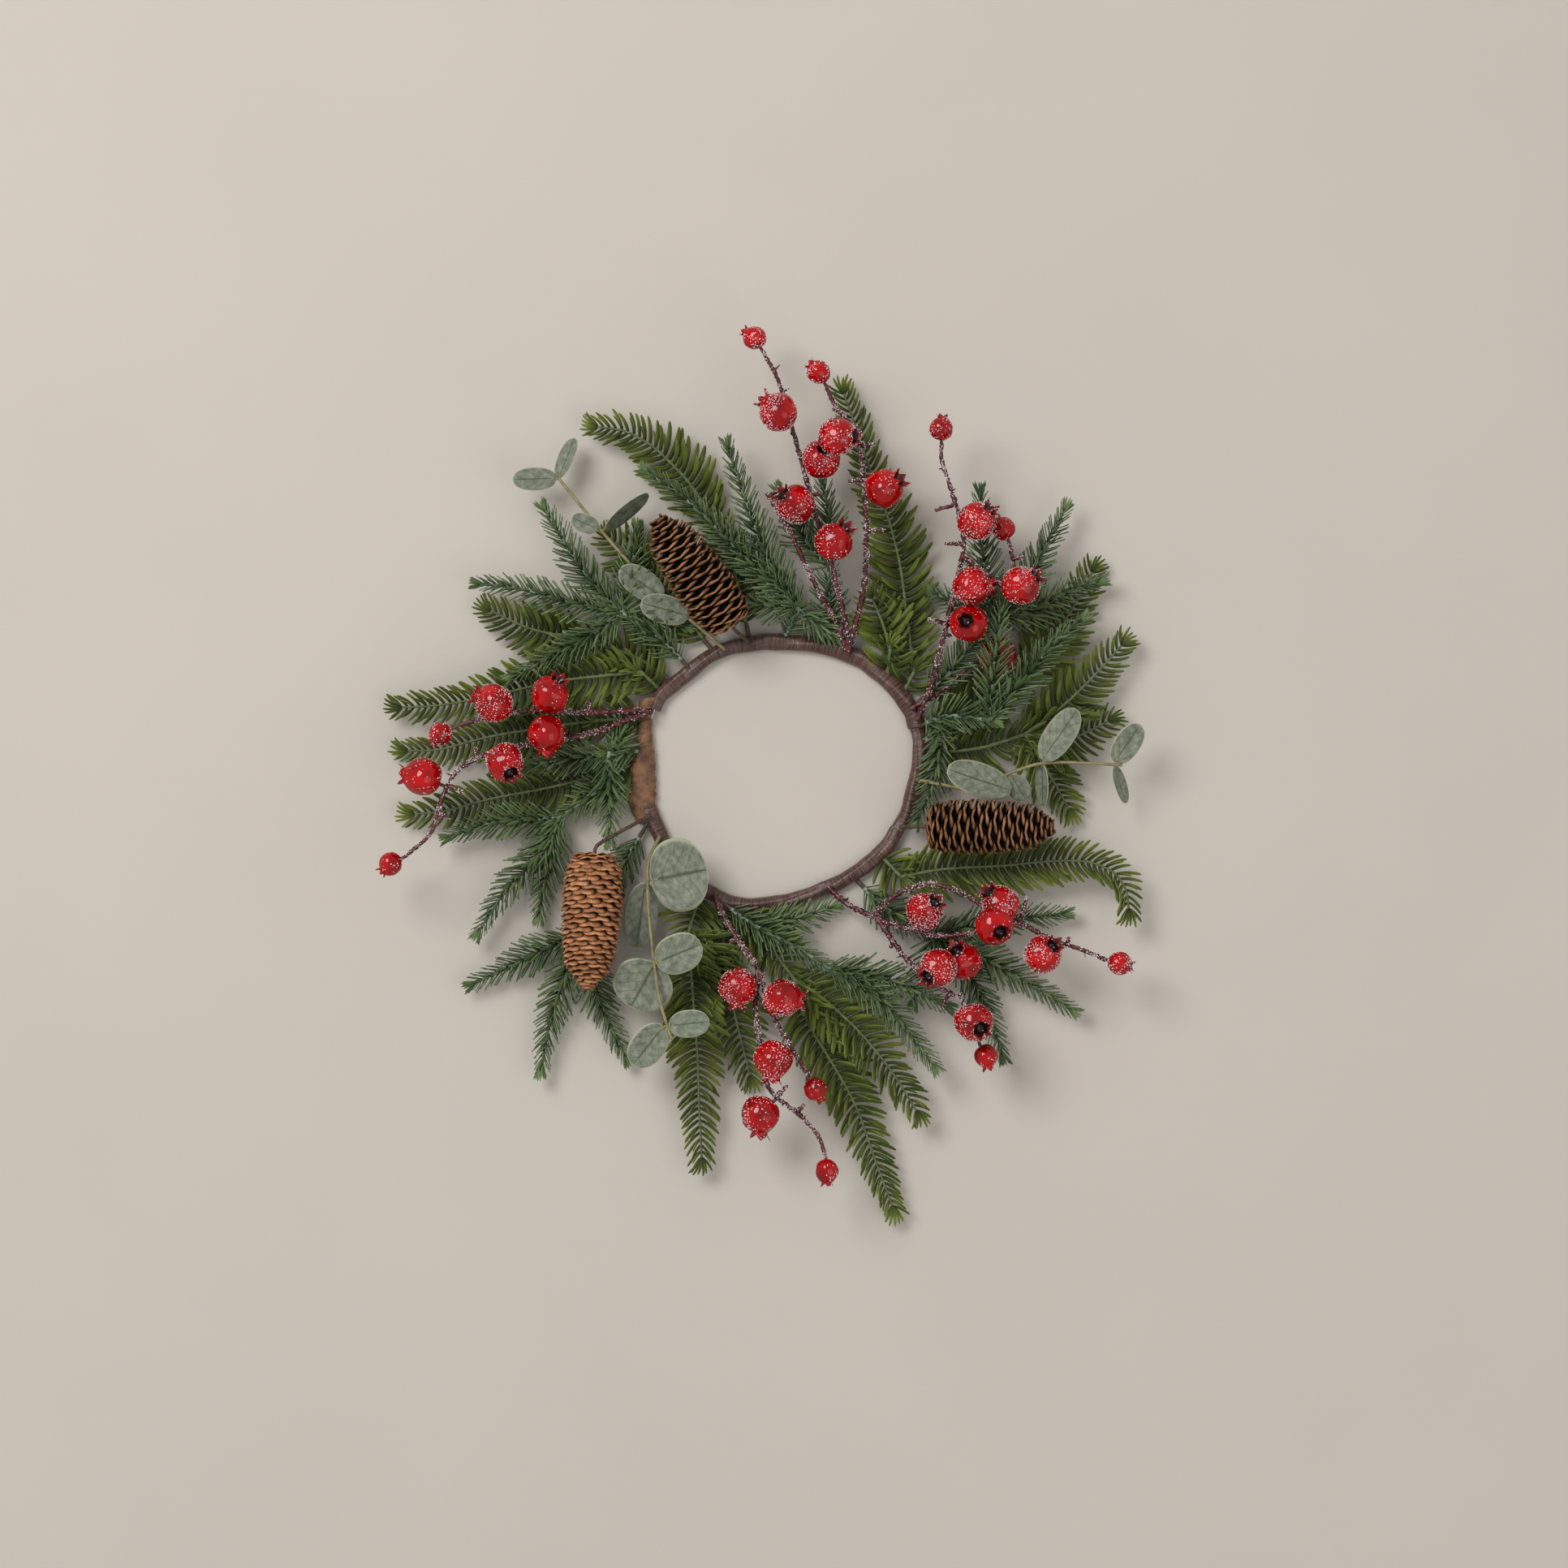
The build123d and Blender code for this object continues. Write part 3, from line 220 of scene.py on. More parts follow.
# Fir and spruce: where a pick is bound, how far round its winding, the share of the mound's height
# that its stem rises to and its route, then for each tip its share and its route on from there
GREENS = {
    "spruce_pick_top": pick(
        (965, 791), 50, 0.3, [(985, 752)],
        (0.48, [(930, 700), (890, 660), (850, 620), (803, 588)]),
        (0.42, [(945, 690), (930, 650), (912, 600), (899, 558)]),
        (0.15, [(1028, 784)]),
        (0.28, [(928, 745)])),
    "fir_pick_top_left": pick(
        (925, 794), 0, 0.14, [(905, 700), (880, 640)],
        (0.22, [(845, 590), (830, 575), (810, 555), (790, 542), (770, 532), (738, 528)])),
    "fir_pick_behind_cone": pick(
        (880, 806), 20, 0.12, [(830, 740), (800, 705)],
        (0.13, [(752, 664)])),
    "spruce_pick_upper_left": pick(
        (852, 827), 60, 0.24, [(820, 790), (768, 756)],
        (0.34, [(745, 735), (715, 700), (676, 634)]),
        (0.3, [(740, 752), (690, 740), (640, 725), (598, 721)]),
        (0.26, [(720, 790), (680, 810), (638, 832)]),
        (0.14, [(812, 764), (838, 771)]),
        (0.2, [(780, 700), (785, 658)])),
    "fir_pick_upper_left": pick(
        (832, 843), 10, 0.1, [(780, 806), (720, 790)],
        (0.12, [(650, 775), (606, 753)])),
    "fir_pick_left_upper": pick(
        (818, 853), -20, 0.16, [(790, 828)],
        (0.18, [(680, 840), (600, 860), (540, 870), (497, 872)])),
    "fir_pick_left_middle": pick(
        (800, 888), -10, 0.1, [(740, 888)],
        (0.1, [(680, 895), (600, 908), (540, 925), (504, 925)])),
    "fir_pick_left_lower": pick(
        (793, 940), -20, 0.1, [(740, 955)],
        (0.12, [(680, 970), (600, 985), (550, 1000), (512, 1003)])),
    "spruce_pick_left": pick(
        (794, 925), 60, 0.24, [(750, 930)],
        (0.28, [(700, 934), (652, 944)]),
        (0.17, [(766, 912), (768, 900)]),
        (0.22, [(752, 980), (752, 1028)])),
    "spruce_pick_left_lower": pick(
        (795, 965), 40, 0.18, [(740, 972), (690, 1008)],
        (0.24, [(640, 1010), (600, 1015), (560, 1029)]),
        (0.22, [(660, 1060), (620, 1100), (594, 1143)]),
        (0.14, [(675, 1070), (666, 1122)])),
    "spruce_pick_bottom_left": pick(
        (806, 1010), 0, 0.14, [(765, 1070), (712, 1150)],
        (0.14, [(680, 1165), (620, 1195), (589, 1209)]),
        (0.18, [(705, 1180), (690, 1220), (675, 1270), (669, 1311)]),
        (0.14, [(725, 1190), (738, 1230), (755, 1270), (769, 1297)])),
    "fir_pick_bottom": pick(
        (866, 1095), 0, 0.16, [(848, 1150)],
        (0.2, [(853, 1210), (860, 1300), (862, 1370), (865, 1424)]),
        (0.12, [(872, 1176), (888, 1200)])),
    "fir_pick_bottom_inner": pick(
        (890, 1107), 0, 0.06, [(893, 1180)],
        (0.07, [(905, 1250), (924, 1324)])),
    "spruce_pick_bottom": pick(
        (885, 1105), 60, 0.36, [(930, 1140), (980, 1165), (1020, 1190)],
        (0.4, [(1085, 1225), (1120, 1270), (1146, 1306)]),
        (0.36, [(1100, 1205), (1160, 1235)]),
        (0.13, [(980, 1132), (1022, 1118)], 0.24, (930, 1140))),
    "fir_pick_bottom_right": pick(
        (910, 1112), 10, 0.18, [(945, 1160), (978, 1205)],
        (0.26, [(1010, 1225), (1060, 1270), (1100, 1320), (1128, 1366)]),
        (0.14, [(992, 1255), (1020, 1300), (1055, 1360), (1075, 1420), (1099, 1484)])),
    "spruce_pick_lower_right": pick(
        (1050, 1077), -10, 0.14, [(1090, 1120), (1150, 1150)],
        (0.16, [(1200, 1142), (1260, 1130), (1306, 1126)]),
        (0.2, [(1220, 1185), (1270, 1212), (1314, 1240)]),
        (0.14, [(1195, 1200), (1215, 1240), (1233, 1294)]),
        (0.12, [(1142, 1190), (1128, 1228)])),
    "fir_pick_lower_right": pick(
        (1082, 1052), 20, 0.16, [(1110, 1080)],
        (0.3, [
            (1160, 1070), (1240, 1066), (1290, 1060), (1340, 1060), (1372, 1074), (1386, 1096),
            (1388, 1118)])),
    "spruce_pick_right": pick(
        (1130, 896), 75, 0.4, [(1165, 880), (1218, 888)],
        (0.46, [(1221, 830), (1228, 780), (1231, 744)]),
        (0.46, [(1265, 830), (1300, 790), (1326, 770)])),
    "spruce_pick_top_right": pick(
        (1122, 872), 40, 0.22, [(1160, 840), (1222, 765)],
        (0.26, [(1212, 700), (1207, 655), (1206, 615)]),
        (0.28, [(1255, 735), (1275, 695), (1308, 634)]),
        (0.26, [(1265, 757), (1310, 732), (1348, 720)]),
        (0.2, [(1185, 750), (1154, 733)])),
    "fir_pick_right": pick(
        (1132, 928), 0, 0.14, [(1200, 925), (1262, 905)],
        (0.2, [(1310, 870), (1350, 830), (1380, 796)]),
        (0.15, [(1320, 912), (1364, 889)]),
        (0.11, [(1290, 950), (1316, 996)])),
    "fir_pick_right_back": pick(
        (1131, 900), -10, 0.1, [(1200, 870), (1262, 830)],
        (0.1, [(1310, 770), (1345, 706)])),
    "spruce_pick_ring_side": pick(
        (1133, 916), 30, 0.13, [(1160, 892)],
        (0.13, [(1157, 930), (1148, 972), (1132, 1006)])),
    "fir_pick_top": pick(
        (1108, 856), 20, 0.12, [(1126, 828)],
        (0.14, [(1118, 770), (1110, 700), (1095, 640), (1075, 590), (1055, 530), (1040, 487)])),
    "fir_pick_top_small": pick(
        (1090, 836), 50, 0.18, [(1096, 800)],
        (0.18, [(1088, 770), (1074, 738)])),
    "spruce_pick_top_back": pick(
        (1020, 798), 0, 0.22, [(1020, 700)],
        (0.25, [(1024, 650), (1014, 600)]),
        (0.23, [(985, 660), (962, 612)])),
}

# Sprays: where each is bound, its stems and the branches that leave them, each as the share that
# it rises to and its route, then the large and small berries as centre and crown, and the twigs
SPRAYS = {
    "berry_spray_1": {
        "bound_pixels": (1045, 803),
        "stems": [
            (0.7, [
                (1043, 775), (1036, 745), (1020, 680), (1005, 640), (992, 590), (975, 530),
                (960, 475), (940, 440)]),
            (0.72, [
                (1052, 775), (1064, 730), (1067, 670), (1064, 600), (1055, 535), (1030, 512),
                (1017, 482)]),
            (0.5, [(1028, 765), (1000, 715), (972, 655), (945, 612)])],
        "branches": [],
        "large_pixels": [
            (959, 516, 940, 500), (1011, 571, 1015, 560), (980, 626, 965, 615),
            (1027, 671, 1040, 655), (1030, 545, 1050, 545), (1087, 607, 1105, 597)],
        "small_pixels": [(930, 424, 912, 412), (1008, 466, 993, 452)],
        "twig_pixels": [(1010, 612), (1076, 553), (1045, 598), (1088, 657), (962, 606)]},
    "berry_spray_2": {
        "bound_pixels": (1133, 887),
        "stems": [
            (0.74, [
                (1146, 850), (1155, 810), (1172, 740), (1187, 670), (1175, 625), (1157, 575),
                (1157, 553)])],
        "branches": [
            (0.6, [(1187, 690), (1215, 712), (1240, 735), (1247, 700), (1240, 672)])],
        "large_pixels": [
            (1199, 648, 1214, 634), (1194, 725, 1220, 727), (1253, 725, 1270, 714),
            (1191, 770, 1187, 768)],
        "small_pixels": [(1157, 535, 1158, 520), (1233, 655, 1222, 640)],
        "twig_pixels": [(1258, 690), (1150, 634), (1162, 674), (1142, 765), (1170, 785)]},
    "berry_pick_right": {
        "bound_pixels": (1126, 870),
        "stems": [
            (0.2, [(1160, 852), (1197, 818)])],
        "branches": [],
        "large_pixels": [(1228, 808, 1248, 820)],
        "small_pixels": [],
        "twig_pixels": []},
    "berry_spray_3": {
        "bound_pixels": (802, 877),
        "stems": [
            (0.66, [(780, 875), (740, 879), (700, 878), (650, 876), (600, 886), (573, 894)]),
            (0.7, [
                (778, 884), (745, 900), (705, 910), (655, 917), (600, 930), (565, 950), (547, 990),
                (540, 1025), (506, 1054)])],
        "branches": [],
        "large_pixels": [
            (614, 868, 590, 857), (681, 857, 692, 840), (677, 905, 676, 930), (627, 940, 635, 953),
            (527, 957, 503, 955)],
        "small_pixels": [(548, 905, 538, 917), (488, 1063, 476, 1074)],
        "twig_pixels": [(576, 976), (560, 1006), (590, 922), (728, 862)]},
    "berry_spray_4": {
        "bound_pixels": (880, 1104),
        "stems": [
            (0.62, [
                (895, 1135), (912, 1160), (938, 1195), (943, 1225), (958, 1260), (980, 1295),
                (996, 1322)])],
        "branches": [
            (0.7, [
                (935, 1192), (930, 1240), (938, 1290), (945, 1340), (985, 1367), (1010, 1395),
                (1017, 1422)])],
        "large_pixels": [
            (910, 1213, 909, 1237), (964, 1226, 987, 1229), (953, 1300, 951, 1324),
            (937, 1368, 936, 1393)],
        "small_pixels": [(1004, 1337, 1012, 1350), (1018, 1435, 1018, 1450)],
        "twig_pixels": [(970, 1333), (990, 1355), (900, 1160)]},
    "berry_spray_5": {
        "bound_pixels": (1020, 1092),
        "stems": [
            (0.6, [
                (1045, 1115), (1090, 1135), (1150, 1152), (1190, 1150), (1245, 1130), (1290, 1155),
                (1330, 1168), (1358, 1180)])],
        "branches": [
            (0.5, [(1075, 1128), (1100, 1102), (1140, 1085), (1185, 1098), (1210, 1118)]),
            (0.62, [(1080, 1132), (1110, 1175), (1150, 1212), (1185, 1228), (1200, 1275)])],
        "large_pixels": [
            (1138, 1122, 1150, 1110), (1229, 1112, 1215, 1098), (1221, 1138, 1228, 1146),
            (1280, 1173, 1292, 1162), (1184, 1182, 1176, 1168), (1153, 1190, 1140, 1200),
            (1196, 1255, 1204, 1262)],
        "small_pixels": [(1374, 1184, 1388, 1188), (1212, 1297, 1214, 1311)],
        "twig_pixels": [(1262, 1104), (1095, 1165), (1158, 1240), (1313, 1153)]},
}

# Cones: places of the base and the tip with their heights, and where the wire is bound. Of the
# scales: how far they stand off the axis, in degrees, how many, how wide, how deep under the
# outline their lips lie, the share of the cone's length that they cover, and their finish
CONES = {
    "cone_top": {
        "base_pixels": (902, 772), "tip_pixels": (811, 644), "height_shares": (0.5, 0.7),
        "bound_pixels": (925, 794), "slant": 62, "count": 128, "wide": 13.0, "curl": 1.3,
        "cover": 0.94, "finish": "cone_scales"},
    "cone_right": {
        "base_pixels": (1142, 1018), "tip_pixels": (1297, 1018), "height_shares": (0.46, 0.62),
        "bound_pixels": (1107, 1018), "slant": 60, "count": 120, "wide": 13.0, "curl": 2.1,
        "cover": 0.91, "finish": "cone_scales"},
    "cone_left": {
        "base_pixels": (735, 1051), "tip_pixels": (727, 1221), "height_shares": (0.5, 0.62),
        "bound_pixels": (803, 1004), "slant": 40, "count": 200, "wide": 10.5, "curl": 1.1,
        "cover": 0.97, "finish": "orange_scales"},
}

# Eucalyptus: where a sprig is bound, the share that its stem rises to and the stem's route, then
# each leaf's places of base and tip and its width, those on the stem's upper side first
EUCALYPTUS = {
    "eucalyptus_top": {
        "bound_pixels": (893, 801), "share": 0.34,
        "route": [(865, 776), (800, 722), (742, 656), (691, 593)],
        "upper_leaf_pixels": [
            (688, 592, 634, 594, 27), (739, 654, 706, 640, 22), (818, 738, 765, 702, 34),
            (850, 760, 790, 744, 34)],
        "lower_leaf_pixels": [(690, 592, 710, 542, 17), (746, 654, 799, 609, 6)]},
    "eucalyptus_right": {
        "bound_pixels": (1134, 962), "share": 0.5,
        "route": [(1200, 975), (1235, 955), (1280, 939), (1330, 940), (1378, 943)],
        "upper_leaf_pixels": [
            (1244, 974, 1164, 948, 38), (1281, 937, 1324, 875, 34), (1369, 940, 1400, 893, 30)],
        "lower_leaf_pixels": [
            (1244, 956, 1262, 985, 26), (1281, 941, 1283, 993, 9), (1369, 944, 1383, 990, 12)]},
    "eucalyptus_left": {
        "bound_pixels": (814, 1030), "share": 0.66,
        "route": [(799, 1060), (799, 1110), (806, 1170), (813, 1225), (829, 1276)],
        "upper_leaf_pixels": [
            (803, 1084, 873, 1070, 86), (810, 1184, 866, 1160, 46), (826, 1260, 876, 1254, 32)],
        "lower_leaf_pixels": [
            (796, 1086, 785, 1168, 38), (809, 1184, 779, 1238, 71), (820, 1260, 782, 1308, 40)]},
}


# Routes and places, in millimetres


def spot(pixels, height=0.0):
    """A place of the photograph on the table, in the part's own frame."""
    x = (pixels[0] - CENTRE_PIXELS[0]) * PIXEL
    y = (CENTRE_PIXELS[1] - pixels[1]) * PIXEL
    return Vector((x, y, height))


def spots(route):
    return [spot(pixels) for pixels in route]


def bend(points, steps=6):
    """A route with each corner rounded as far as its runs allow."""
    line = [points[0]]
    for before, corner, after in zip(points, points[1:], points[2:]):
        reach = BEND_SHARE * min((before - corner).length, (after - corner).length)
        start = corner + (before - corner).normalized() * reach
        end = corner + (after - corner).normalized() * reach
        for k in range(steps + 1):
            t = k / steps
            line.append(start * (1 - t) ** 2 + corner * (2 * t * (1 - t)) + end * t * t)
    return line + [points[-1]]


def evenly(line, gap):
    """Points at equal distances along a line, with the length at each, and the whole length."""
    lengths = [0.0]
    for a, b in zip(line, line[1:]):
        lengths.append(lengths[-1] + (b - a).length)
    total = lengths[-1]
    count = max(2, round(total / gap))
    result = []
    i = 0
    for k in range(count + 1):
        at = total * k / count
        while i < len(line) - 2 and lengths[i + 1] < at:
            i += 1
        run_length = max(lengths[i + 1] - lengths[i], TINY)
        share = min(max((at - lengths[i]) / run_length, 0), 1)
        result.append((line[i].lerp(line[i + 1], share), at))
    return result, total


def stations(line, gap):
    """As evenly, with the direction, the way across and the way up at each point too."""
    found, total = evenly(line, gap)
    points = [point for point, _ in found]
    result = []
    for i, (point, at) in enumerate(found):
        ahead = (points[min(i + 1, len(points) - 1)] - points[max(i - 1, 0)]).normalized()
        across = UP.cross(ahead)
        if across.length < NEARLY_STEEP:
            across = Vector((1, 0, 0))
        across.normalize()
        result.append((point, at, ahead, across, ahead.cross(across).normalized()))
    return result, total


def circle(count):
    """The angles of points evenly round a ring."""
    return [2 * math.pi * i / count for i in range(count)]


def turned(first, second, angle):
    """A direction turned from a first one towards a second that is square to it."""
    return first * math.cos(angle) + second * math.sin(angle)


def above(point, floor):
    """A point, raised to the floor where it lies under it."""
    point.z = max(point.z, floor)
    return point


def rising(points, low, high):
    """A stem that climbs fast from its binding and then levels off."""
    total = [0.0]
    for a, b in zip(points, points[1:]):
        total.append(total[-1] + math.hypot(b.x - a.x, b.y - a.y))
    return [
        Vector((p.x, p.y, low + (high - low) * math.sin(math.pi / 2 * s / total[-1])))
        for p, s in zip(points, total)]


def nearest_on(lines, place):
    """The point of any line that lies nearest to a place in plan."""
    best = None
    for line in lines:
        for a, b in zip(line, line[1:]):
            side = Vector((b.x - a.x, b.y - a.y, 0))
            if side.length_squared < TINY_SQUARE:
                continue
            way = Vector((place.x - a.x, place.y - a.y, 0))
            share = min(max(way.dot(side) / side.length_squared, 0), 1)
            point = a.lerp(b, share)
            away = math.hypot(point.x - place.x, point.y - place.y)
            if best is None or away < best[0]:
                best = (away, point)
    return best[1]


def hoop_corners():
    return [spot(pixels, HOOP_HEIGHT) for pixels in HOOP_PIXELS]


def hoop_run(first, last):
    """The hoop's line from half a run before one corner to half a run after another."""
    corners = hoop_corners()
    start = (corners[first - 1] + corners[first]) * 0.5
    end = (corners[last] + corners[(last + 1) % len(corners)]) * 0.5
    return bend([start] + corners[first:last + 1] + [end])


def on_winding(pixels, turn, reach):
    """A point at a distance from the hoop's line, turned up from outward by an angle."""
    corners = hoop_corners()
    best = nearest_on([corners + corners[:1]], spot(pixels, HOOP_HEIGHT))
    outward_way = Vector((best.x, best.y, 0)).normalized()
    angle = math.radians(turn)
    return best + outward_way * (reach * math.cos(angle)) + Vector((0, 0, reach * math.sin(angle)))


def hinge_at(pixels):
    """Where a loose stem leaves its binding, just clear on top of the winding."""
    return on_winding(pixels, HINGE_TURN, WIDEST_WINDING + RUN_CLEARANCE + KNUCKLE_RADIUS)


# Meshes


def put(mesh, name, values, sort="FLOAT"):
    """Gives a mesh a value or a direction at each point."""
    data = mesh.attributes.new(name, sort, "POINT").data
    data.foreach_set("vector" if sort == "FLOAT_VECTOR" else "value", values)


def linked(name, data):
    """A new object in the scene."""
    piece = bpy.data.objects.new(name, data)
    bpy.context.scene.collection.objects.link(piece)
    return piece


class Shell:
    """Rings of points joined into closed skins, each point with its shade and its frost."""

    def __init__(self):
        self.points, self.shades, self.frosts = [], [], []
        self.faces, self.corners, self.finishes = [], [], []

    def skin(self, rings, finish=0, shades=None, frosts=None, lengths=None, uvs=None):
        """One closed skin through rings of equal count."""
        first, count = len(self.points), len(rings[0])
        for j, ring in enumerate(rings):
            self.points += [p * MM for p in ring]
            self.shades += shades[j] if shades else [1.0] * count
            self.frosts += frosts[j] if frosts else [0.0] * count
        if lengths is None:
            lengths = [j / (len(rings) - 1) for j in range(len(rings))]
        if uvs is None:
            uvs = [[(i / count, length) for i in range(count + 1)] for length in lengths]
        for j in range(len(rings) - 1):
            for i in range(count):
                n = (i + 1) % count
                # A plain map has one place more to a ring, for its seam
                m = i + 1 if len(uvs[j]) > count else n
                a, b = first + j * count, first + (j + 1) * count
                self.faces.append((a + i, a + n, b + n, b + i))
                self.corners += [uvs[j][i], uvs[j][m], uvs[j + 1][m], uvs[j + 1][i]]
        last = first + (len(rings) - 1) * count
        self.faces += [tuple(range(first, first + count))[::-1], tuple(range(last, last + count))]
        for length in (lengths[0], lengths[-1]):
            self.corners += [(0.5, length)] * count
        self.finishes += [finish] * (count * (len(rings) - 1) + 2)

    def tube(self, line, radius, around=8, gap=1.0, finish=0, rough=0.0, taper=1.0, frost=0.0,
             floor=None):
        """A round stem along a line, rounded at both ends, with lumps where rough is above 0."""
        found, total = stations(line, gap)
        rings, lengths, frosts = [], [], []
        spans = [(k, 0.0, 1.0) for k in range(len(found))]
        spans.insert(0, (0, -END_REACH * radius, END_SWELL))
        spans.append((len(found) - 1, END_REACH * radius * taper, END_SWELL))
        for k, offset, swell in spans:
            point, at, ahead, across, up = found[k]
            share = at / total
            here = radius * swell * (1 + (taper - 1) * share)
            centre = point + ahead * offset
            ring = []
            for angle in circle(around):
                out = turned(across, up, angle)
                lump = 1 + rough * noise.noise((centre + out * radius) * LUMP_PITCH)
                p = centre + out * here * lump
                ring.append(p if floor is None else above(p, floor))
            rings.append(ring)
            patch = 0.45 + noise.noise(centre * 0.25)
            frosts.append([frost * patch * min(1, 0.15 + 2.2 * share)] * around)
            lengths.append((at + offset) * MM)
        self.skin(rings, finish, frosts=frosts, lengths=lengths)

    def mesh(self, name, *materials):
        mesh = bpy.data.meshes.new(name)
        mesh.from_pydata(self.points, [], self.faces)
        for material in materials:
            mesh.materials.append(material)
        mesh.polygons.foreach_set("material_index", self.finishes)
        mesh.polygons.foreach_set("use_smooth", [True] * len(self.faces))
        layer = mesh.uv_layers.new(name="UVMap")
        layer.data.foreach_set("uv", [value for corner in self.corners for value in corner])
        put(mesh, "shade", self.shades)
        put(mesh, "frost", self.frosts)
        mesh.update()
        return outward(mesh)


def outward(mesh):
    """Turns a mesh's closed skins so that their faces point out."""
    bm = bmesh.new()
    bm.from_mesh(mesh)
    bmesh.ops.remove_doubles(bm, verts=bm.verts, dist=WELD)
    bmesh.ops.recalc_face_normals(bm, faces=bm.faces)
    bm.to_mesh(mesh)
    bm.free()
    return mesh


def merged(name, parts, *materials):
    """One mesh of several, each with the number of its material, or None where it has its own."""
    bm = bmesh.new()
    for mesh, number in parts:
        first = len(bm.faces)
        bm.from_mesh(mesh)
        bm.faces.ensure_lookup_table()
        if number is not None:
            for face in bm.faces[first:]:
                face.material_index = number
    result = bpy.data.meshes.new(name)
    for material in materials:
        result.materials.append(material)
    bm.to_mesh(result)
    bm.free()
    return result


def placed(name, mesh, body, slot, *nodes):
    """A finished piece that rides on a body and stands for its CAD nodes."""
    piece = linked(name, mesh)
    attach(piece, body)
    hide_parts(*nodes)


# Node groups


def add(tree, kind, inputs, **settings):
    """A node with its settings, each input joined to a socket or set to a value."""
    node = tree.nodes.new(kind)
    for name, value in settings.items():
        setattr(node, name, value)
    for key, value in inputs.items():
        if isinstance(value, bpy.types.NodeSocket):
            tree.links.new(value, node.inputs[key])
        else:
            node.inputs[key].default_value = value
    return node.outputs


def maths(tree, operation, first, second=0.0):
    return add(tree, "ShaderNodeMath", {0: first, 1: second}, operation=operation)[0]


def ramp(tree, value, low, high):
    """A value as a share of the way from low to high."""
    inputs = {"Value": value, "From Min": low, "From Max": high}
    return add(tree, "ShaderNodeMapRange", inputs)["Result"]


def mix(tree, share, first, second):
    """A colour between two, by a socket's value."""
    inputs = {0: share, 6: rgba(first), 7: rgba(second)}
    return add(tree, "ShaderNodeMix", inputs, data_type="RGBA")[2]


def rgba(colour):
    return colour if isinstance(colour, bpy.types.NodeSocket) else (*colour[:3], 1)


def new_tree(kind, name, inputs, outputs):
    """A node group with its named sockets, and the ends of its inputs."""
    tree = bpy.data.node_groups.new(name, kind)
    for way, sockets in (("INPUT", inputs), ("OUTPUT", outputs)):
        for label, sort, *default in sockets:
            socket = tree.interface.new_socket(label, in_out=way, socket_type="NodeSocket" + sort)
            if default:
                socket.default_value = default[0]
    return tree, tree.nodes.new("NodeGroupInput").outputs


def placing_tree(name, *inputs):
    """A tree that places copies of a shape, with the inputs that every one has."""
    return new_tree("GeometryNodeTree", name, [
        ("Geometry", "Geometry"), ("Shape", "Object"), *inputs, ("Seed", "Int", SEED),
        ("Material", "Material")], [("Geometry", "Geometry")])


def finish_tree(tree, source, points, rotation, scale):
    """Puts the shape on the points, makes the copies real and gives them the material."""
    shape = add(tree, "GeometryNodeObjectInfo", {"Object": source["Shape"]})["Geometry"]
    copies = add(tree, "GeometryNodeInstanceOnPoints", {
        "Points": points, "Instance": shape, "Rotation": rotation, "Scale": scale})
    real = add(tree, "GeometryNodeRealizeInstances", {"Geometry": copies["Instances"]})
    painted = add(tree, "GeometryNodeSetMaterial", {
        "Geometry": real["Geometry"], "Material": source["Material"]})
    add(tree, "NodeGroupOutput", {"Geometry": painted["Geometry"]})
    return tree


def named(tree, name, kind="FLOAT"):
    return add(tree, "GeometryNodeInputNamedAttribute", {"Name": name}, data_type=kind)["Attribute"]


def growth_tree():
    """Puts a shape on each point, along its way and facing its face, at its size."""
    tree, source = placing_tree(
        "Growth along a stem", ("Length", "Float", 0.008), ("Width", "Float", 0.001),
        ("Uneven", "Float", 0.12))
    axes = {
        "Primary Axis": named(tree, "way", "FLOAT_VECTOR"),
        "Secondary Axis": named(tree, "face", "FLOAT_VECTOR")}
    aim = add(tree, "FunctionNodeAxesToRotation", axes, primary_axis="Z", secondary_axis="Y")
    uneven = source["Uneven"]
    chance = add(tree, "FunctionNodeRandomValue", {
        2: maths(tree, "SUBTRACT", 1.0, uneven), 3: maths(tree, "ADD", 1.0, uneven),
        "Seed": source["Seed"]}, data_type="FLOAT")
    size = named(tree, "size")
    wide = maths(tree, "MULTIPLY", source["Width"], size)
    long = maths(tree, "MULTIPLY", maths(tree, "MULTIPLY", source["Length"], size), chance[1])
    scale = add(tree, "ShaderNodeCombineXYZ", {0: wide, 1: wide, 2: long})[0]
    return finish_tree(tree, source, source["Geometry"], aim["Rotation"], scale)


def frost_tree():
    """Scatters sugar grains over a surface, thicker where its frost value is higher."""
    tree, source = placing_tree(
        "Sugar frost", ("Grains", "Float", 3e5), ("Smallest", "Float", 0.0001),
        ("Largest", "Float", 0.00034))
    density = maths(tree, "MULTIPLY", named(tree, "frost"), source["Grains"])
    spread = add(tree, "GeometryNodeDistributePointsOnFaces", {
        "Mesh": source["Geometry"], "Density": density, "Seed": source["Seed"]})
    size = add(tree, "FunctionNodeRandomValue", {
        2: source["Smallest"], 3: source["Largest"], "Seed": source["Seed"]}, data_type="FLOAT")
    turn = add(tree, "FunctionNodeRandomValue", {
        1: ANY_TURN, "Seed": source["Seed"]}, data_type="FLOAT_VECTOR")
    return finish_tree(tree, source, spread["Points"], turn[0], size[1])


